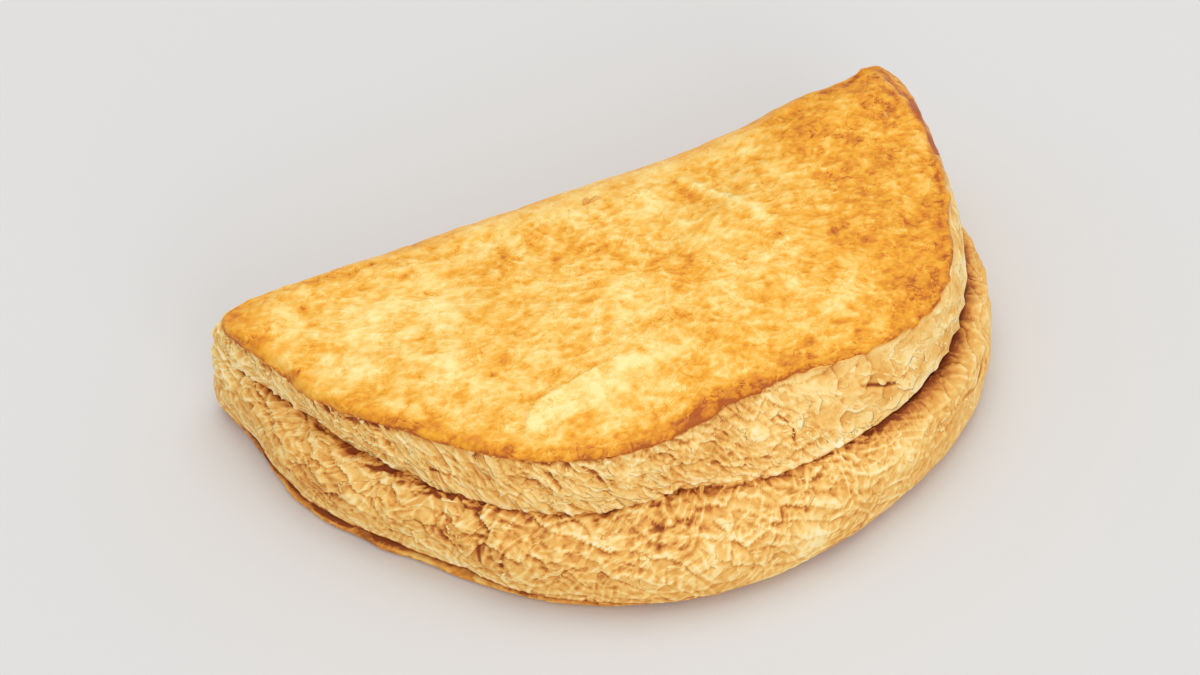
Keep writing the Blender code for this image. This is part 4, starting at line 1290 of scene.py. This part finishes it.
# the crumb: tone + grain + strokes through one ramp, and with patches through the crust's ramp, the two
# blended by the crust attribute
def crumbMaterial():
    look = crumbFinish
    material, shader = newMaterial("flakyCrumb", look["roughness"], look["specular"])
    tree = material.node_tree
    coords = addNode(tree, "ShaderNodeTexCoord", (-1200, 0)).outputs["Object"]
    tone = addNode(tree, "ShaderNodeAttribute", (-1000, 200), {"attribute_name": "tone"})
    crust = addNode(tree, "ShaderNodeAttribute", (-1000, -400), {"attribute_name": "crust"})
    grain = addNoise(tree, coords, look["grain"], (-1000, 0))
    centred = addMath(tree, "SUBTRACT", grain, 0.5, (-800, 0))
    spread = addMath(tree, "MULTIPLY", centred, look["grainShare"], (-650, 0))
    total = addMath(tree, "ADD", tone.outputs["Fac"], spread, (-500, 100))
    total = withStrokes(tree, total, coords, look["strokes"], -400)
    patchy = addNoise(tree, coords, look["patches"], (-1000, -200))
    share = look["patchShare"]
    baked = addRange(tree, patchy, look["patchRange"], (-share, share), (-700, -200))
    crustTotal = addMath(tree, "ADD", total, baked, (-450, -100))
    blend = addNode(tree, "ShaderNodeMix", (0, 100), {"data_type": "RGBA"})
    tree.links.new(crust.outputs["Fac"], blend.inputs["Factor"])
    tree.links.new(addRamp(tree, total, look["stops"], (-300, 200)), blend.inputs["A"])
    tree.links.new(addRamp(tree, crustTotal, look["crustStops"], (-300, -100)), blend.inputs["B"])
    tree.links.new(blend.outputs["Result"], shader.inputs["Base Color"])
    addBump(tree, grain, look["bump"], shader, (0, -300))
    return material


# the glazed skin: bake + three noises + strokes through one ramp, with bumps from the finest noise
def skinMaterial():
    look = skinFinish
    material, shader = newMaterial("glazedCrust", look["roughness"], look["specular"])
    tree = material.node_tree
    coords = addNode(tree, "ShaderNodeTexCoord", (-1400, 0)).outputs["Object"]
    bake = addNode(tree, "ShaderNodeAttribute", (-1000, 400), {"attribute_name": "bake"})
    stretched = addNode(tree, "ShaderNodeMapping", (-1200, 0), None,
                        {"Rotation": look["strokeTurn"], "Scale": look["strokeStretch"]})
    tree.links.new(coords, stretched.inputs["Vector"])
    total = bake.outputs["Fac"]
    for k, (scale, share, distortion, detail) in enumerate(look["noises"]):
        y = 200 - 250 * k
        make = (scale, detail, look["noiseRoughness"], distortion)
        noise = addNoise(tree, stretched.outputs["Vector"], make, (-1000, y))
        spread = addRange(tree, noise, look["noiseRange"], (-share, share), (-700, y))
        total = addMath(tree, "ADD", total, spread, (-450, y))
    total = withStrokes(tree, total, coords, look["strokes"], -300)
    tree.links.new(addRamp(tree, total, look["stops"], (-200, 200)), shader.inputs["Base Color"])
    addBump(tree, noise, look["bump"], shader, (-200, -300))
    return material


studio = {
    "floorColour": (0.72, 0.71, 0.697, 1), "floorSize": 3000, "floorHeight": -0.1, "floorFinish": (0.85, 0.2),
    "worldColour": (0.98, 0.99, 1.0, 1), "worldStrength": 0.75,
    # place in millimetres, width, power in watts, colour
    "lights": (
        ("overhead", (90, 260, 1260), 1100, 4.6, (1, 1, 1)),
        ("frontFill", (-120, -1320, 600), 1100, 5.4, (1, 1, 1)),
    ),
    "aimAt": (-8.9, 12.13, 17.12), "azimuth": -26.5, "elevation": 46, "lens": 100, "distance": 665.9,
    "nearest": 0.01,
}


# a new object in the scene
def addObject(name, data):
    thing = bpy.data.objects.new(name, data)
    bpy.context.scene.collection.objects.link(thing)
    return thing


# puts a light or the camera at a place in millimetres, looking at the pie
def aim(thing, place):
    position = Vector([float(v) * mm for v in place])
    target = Vector([v * mm for v in studio["aimAt"]])
    thing.location = position
    thing.rotation_euler = (target - position).to_track_quat("-Z", "Y").to_euler()


# the pale floor, the even light and the camera of the photo
def buildStudio():
    half = studio["floorSize"] / 2 * mm
    low = studio["floorHeight"] * mm
    corners = [(-half, -half, low), (half, -half, low), (half, half, low), (-half, half, low)]
    mesh = bpy.data.meshes.new("floor")
    mesh.from_pydata(corners, [], [(0, 1, 2, 3)])
    floor = addObject("floor", mesh)
    material, shader = newMaterial("paleFloor", *studio["floorFinish"])
    shader.inputs["Base Color"].default_value = studio["floorColour"]
    mesh.materials.append(material)
    world = bpy.data.worlds.new("softRoom")
    bpy.context.scene.world = world
    world.use_nodes = True
    background = world.node_tree.nodes["Background"]
    background.inputs["Color"].default_value = studio["worldColour"]
    background.inputs["Strength"].default_value = studio["worldStrength"]
    for name, place, width, power, colour in studio["lights"]:
        lamp = bpy.data.lights.new(name, "AREA")
        lamp.shape = "DISK"
        lamp.size = width * mm
        lamp.energy = power
        lamp.color = colour
        aim(addObject(name, lamp), place)
    camera = addObject("camera", bpy.data.cameras.new("camera"))
    camera.data.lens = studio["lens"]
    camera.data.clip_start = studio["nearest"]
    azimuth = math.radians(studio["azimuth"])
    elevation = math.radians(studio["elevation"])
    across = math.cos(elevation)
    back = np.array([math.sin(azimuth) * across, -math.cos(azimuth) * across, math.sin(elevation)])
    aim(camera, np.array(studio["aimAt"]) + back * studio["distance"])
    bpy.context.scene.camera = camera
    bpy.context.scene.view_settings.view_transform = "Standard"


buildStudio()
print("studio ready")
crumb = crumbMaterial()
crustSkin = skinMaterial()
lower, lowerGrid, lowerMade = buildLowerLeaf()
upper, upperGrid, upperMade = buildUpperLeaf()
skin, skinGrid, skinMade = buildSkin()
pieces = [(lower, crumb), (upper, crumb), (skin, crustSkin)]
grounds = {"upper": (upperGrid, upperMade), "lower": (lowerGrid, lowerMade), "skin": (skinGrid, skinMade)}
for label, recipe in flakeRecipes.items():
    grid, made = grounds[recipe["on"]]
    pieces.append((buildFlakes(label, grid, made, recipe), crumb))
for piece, material in pieces:
    piece.data.materials.append(material)
    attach(piece, "root")
    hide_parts("cheese_pie")
print("pie dressed with", len(pieces), "pieces")
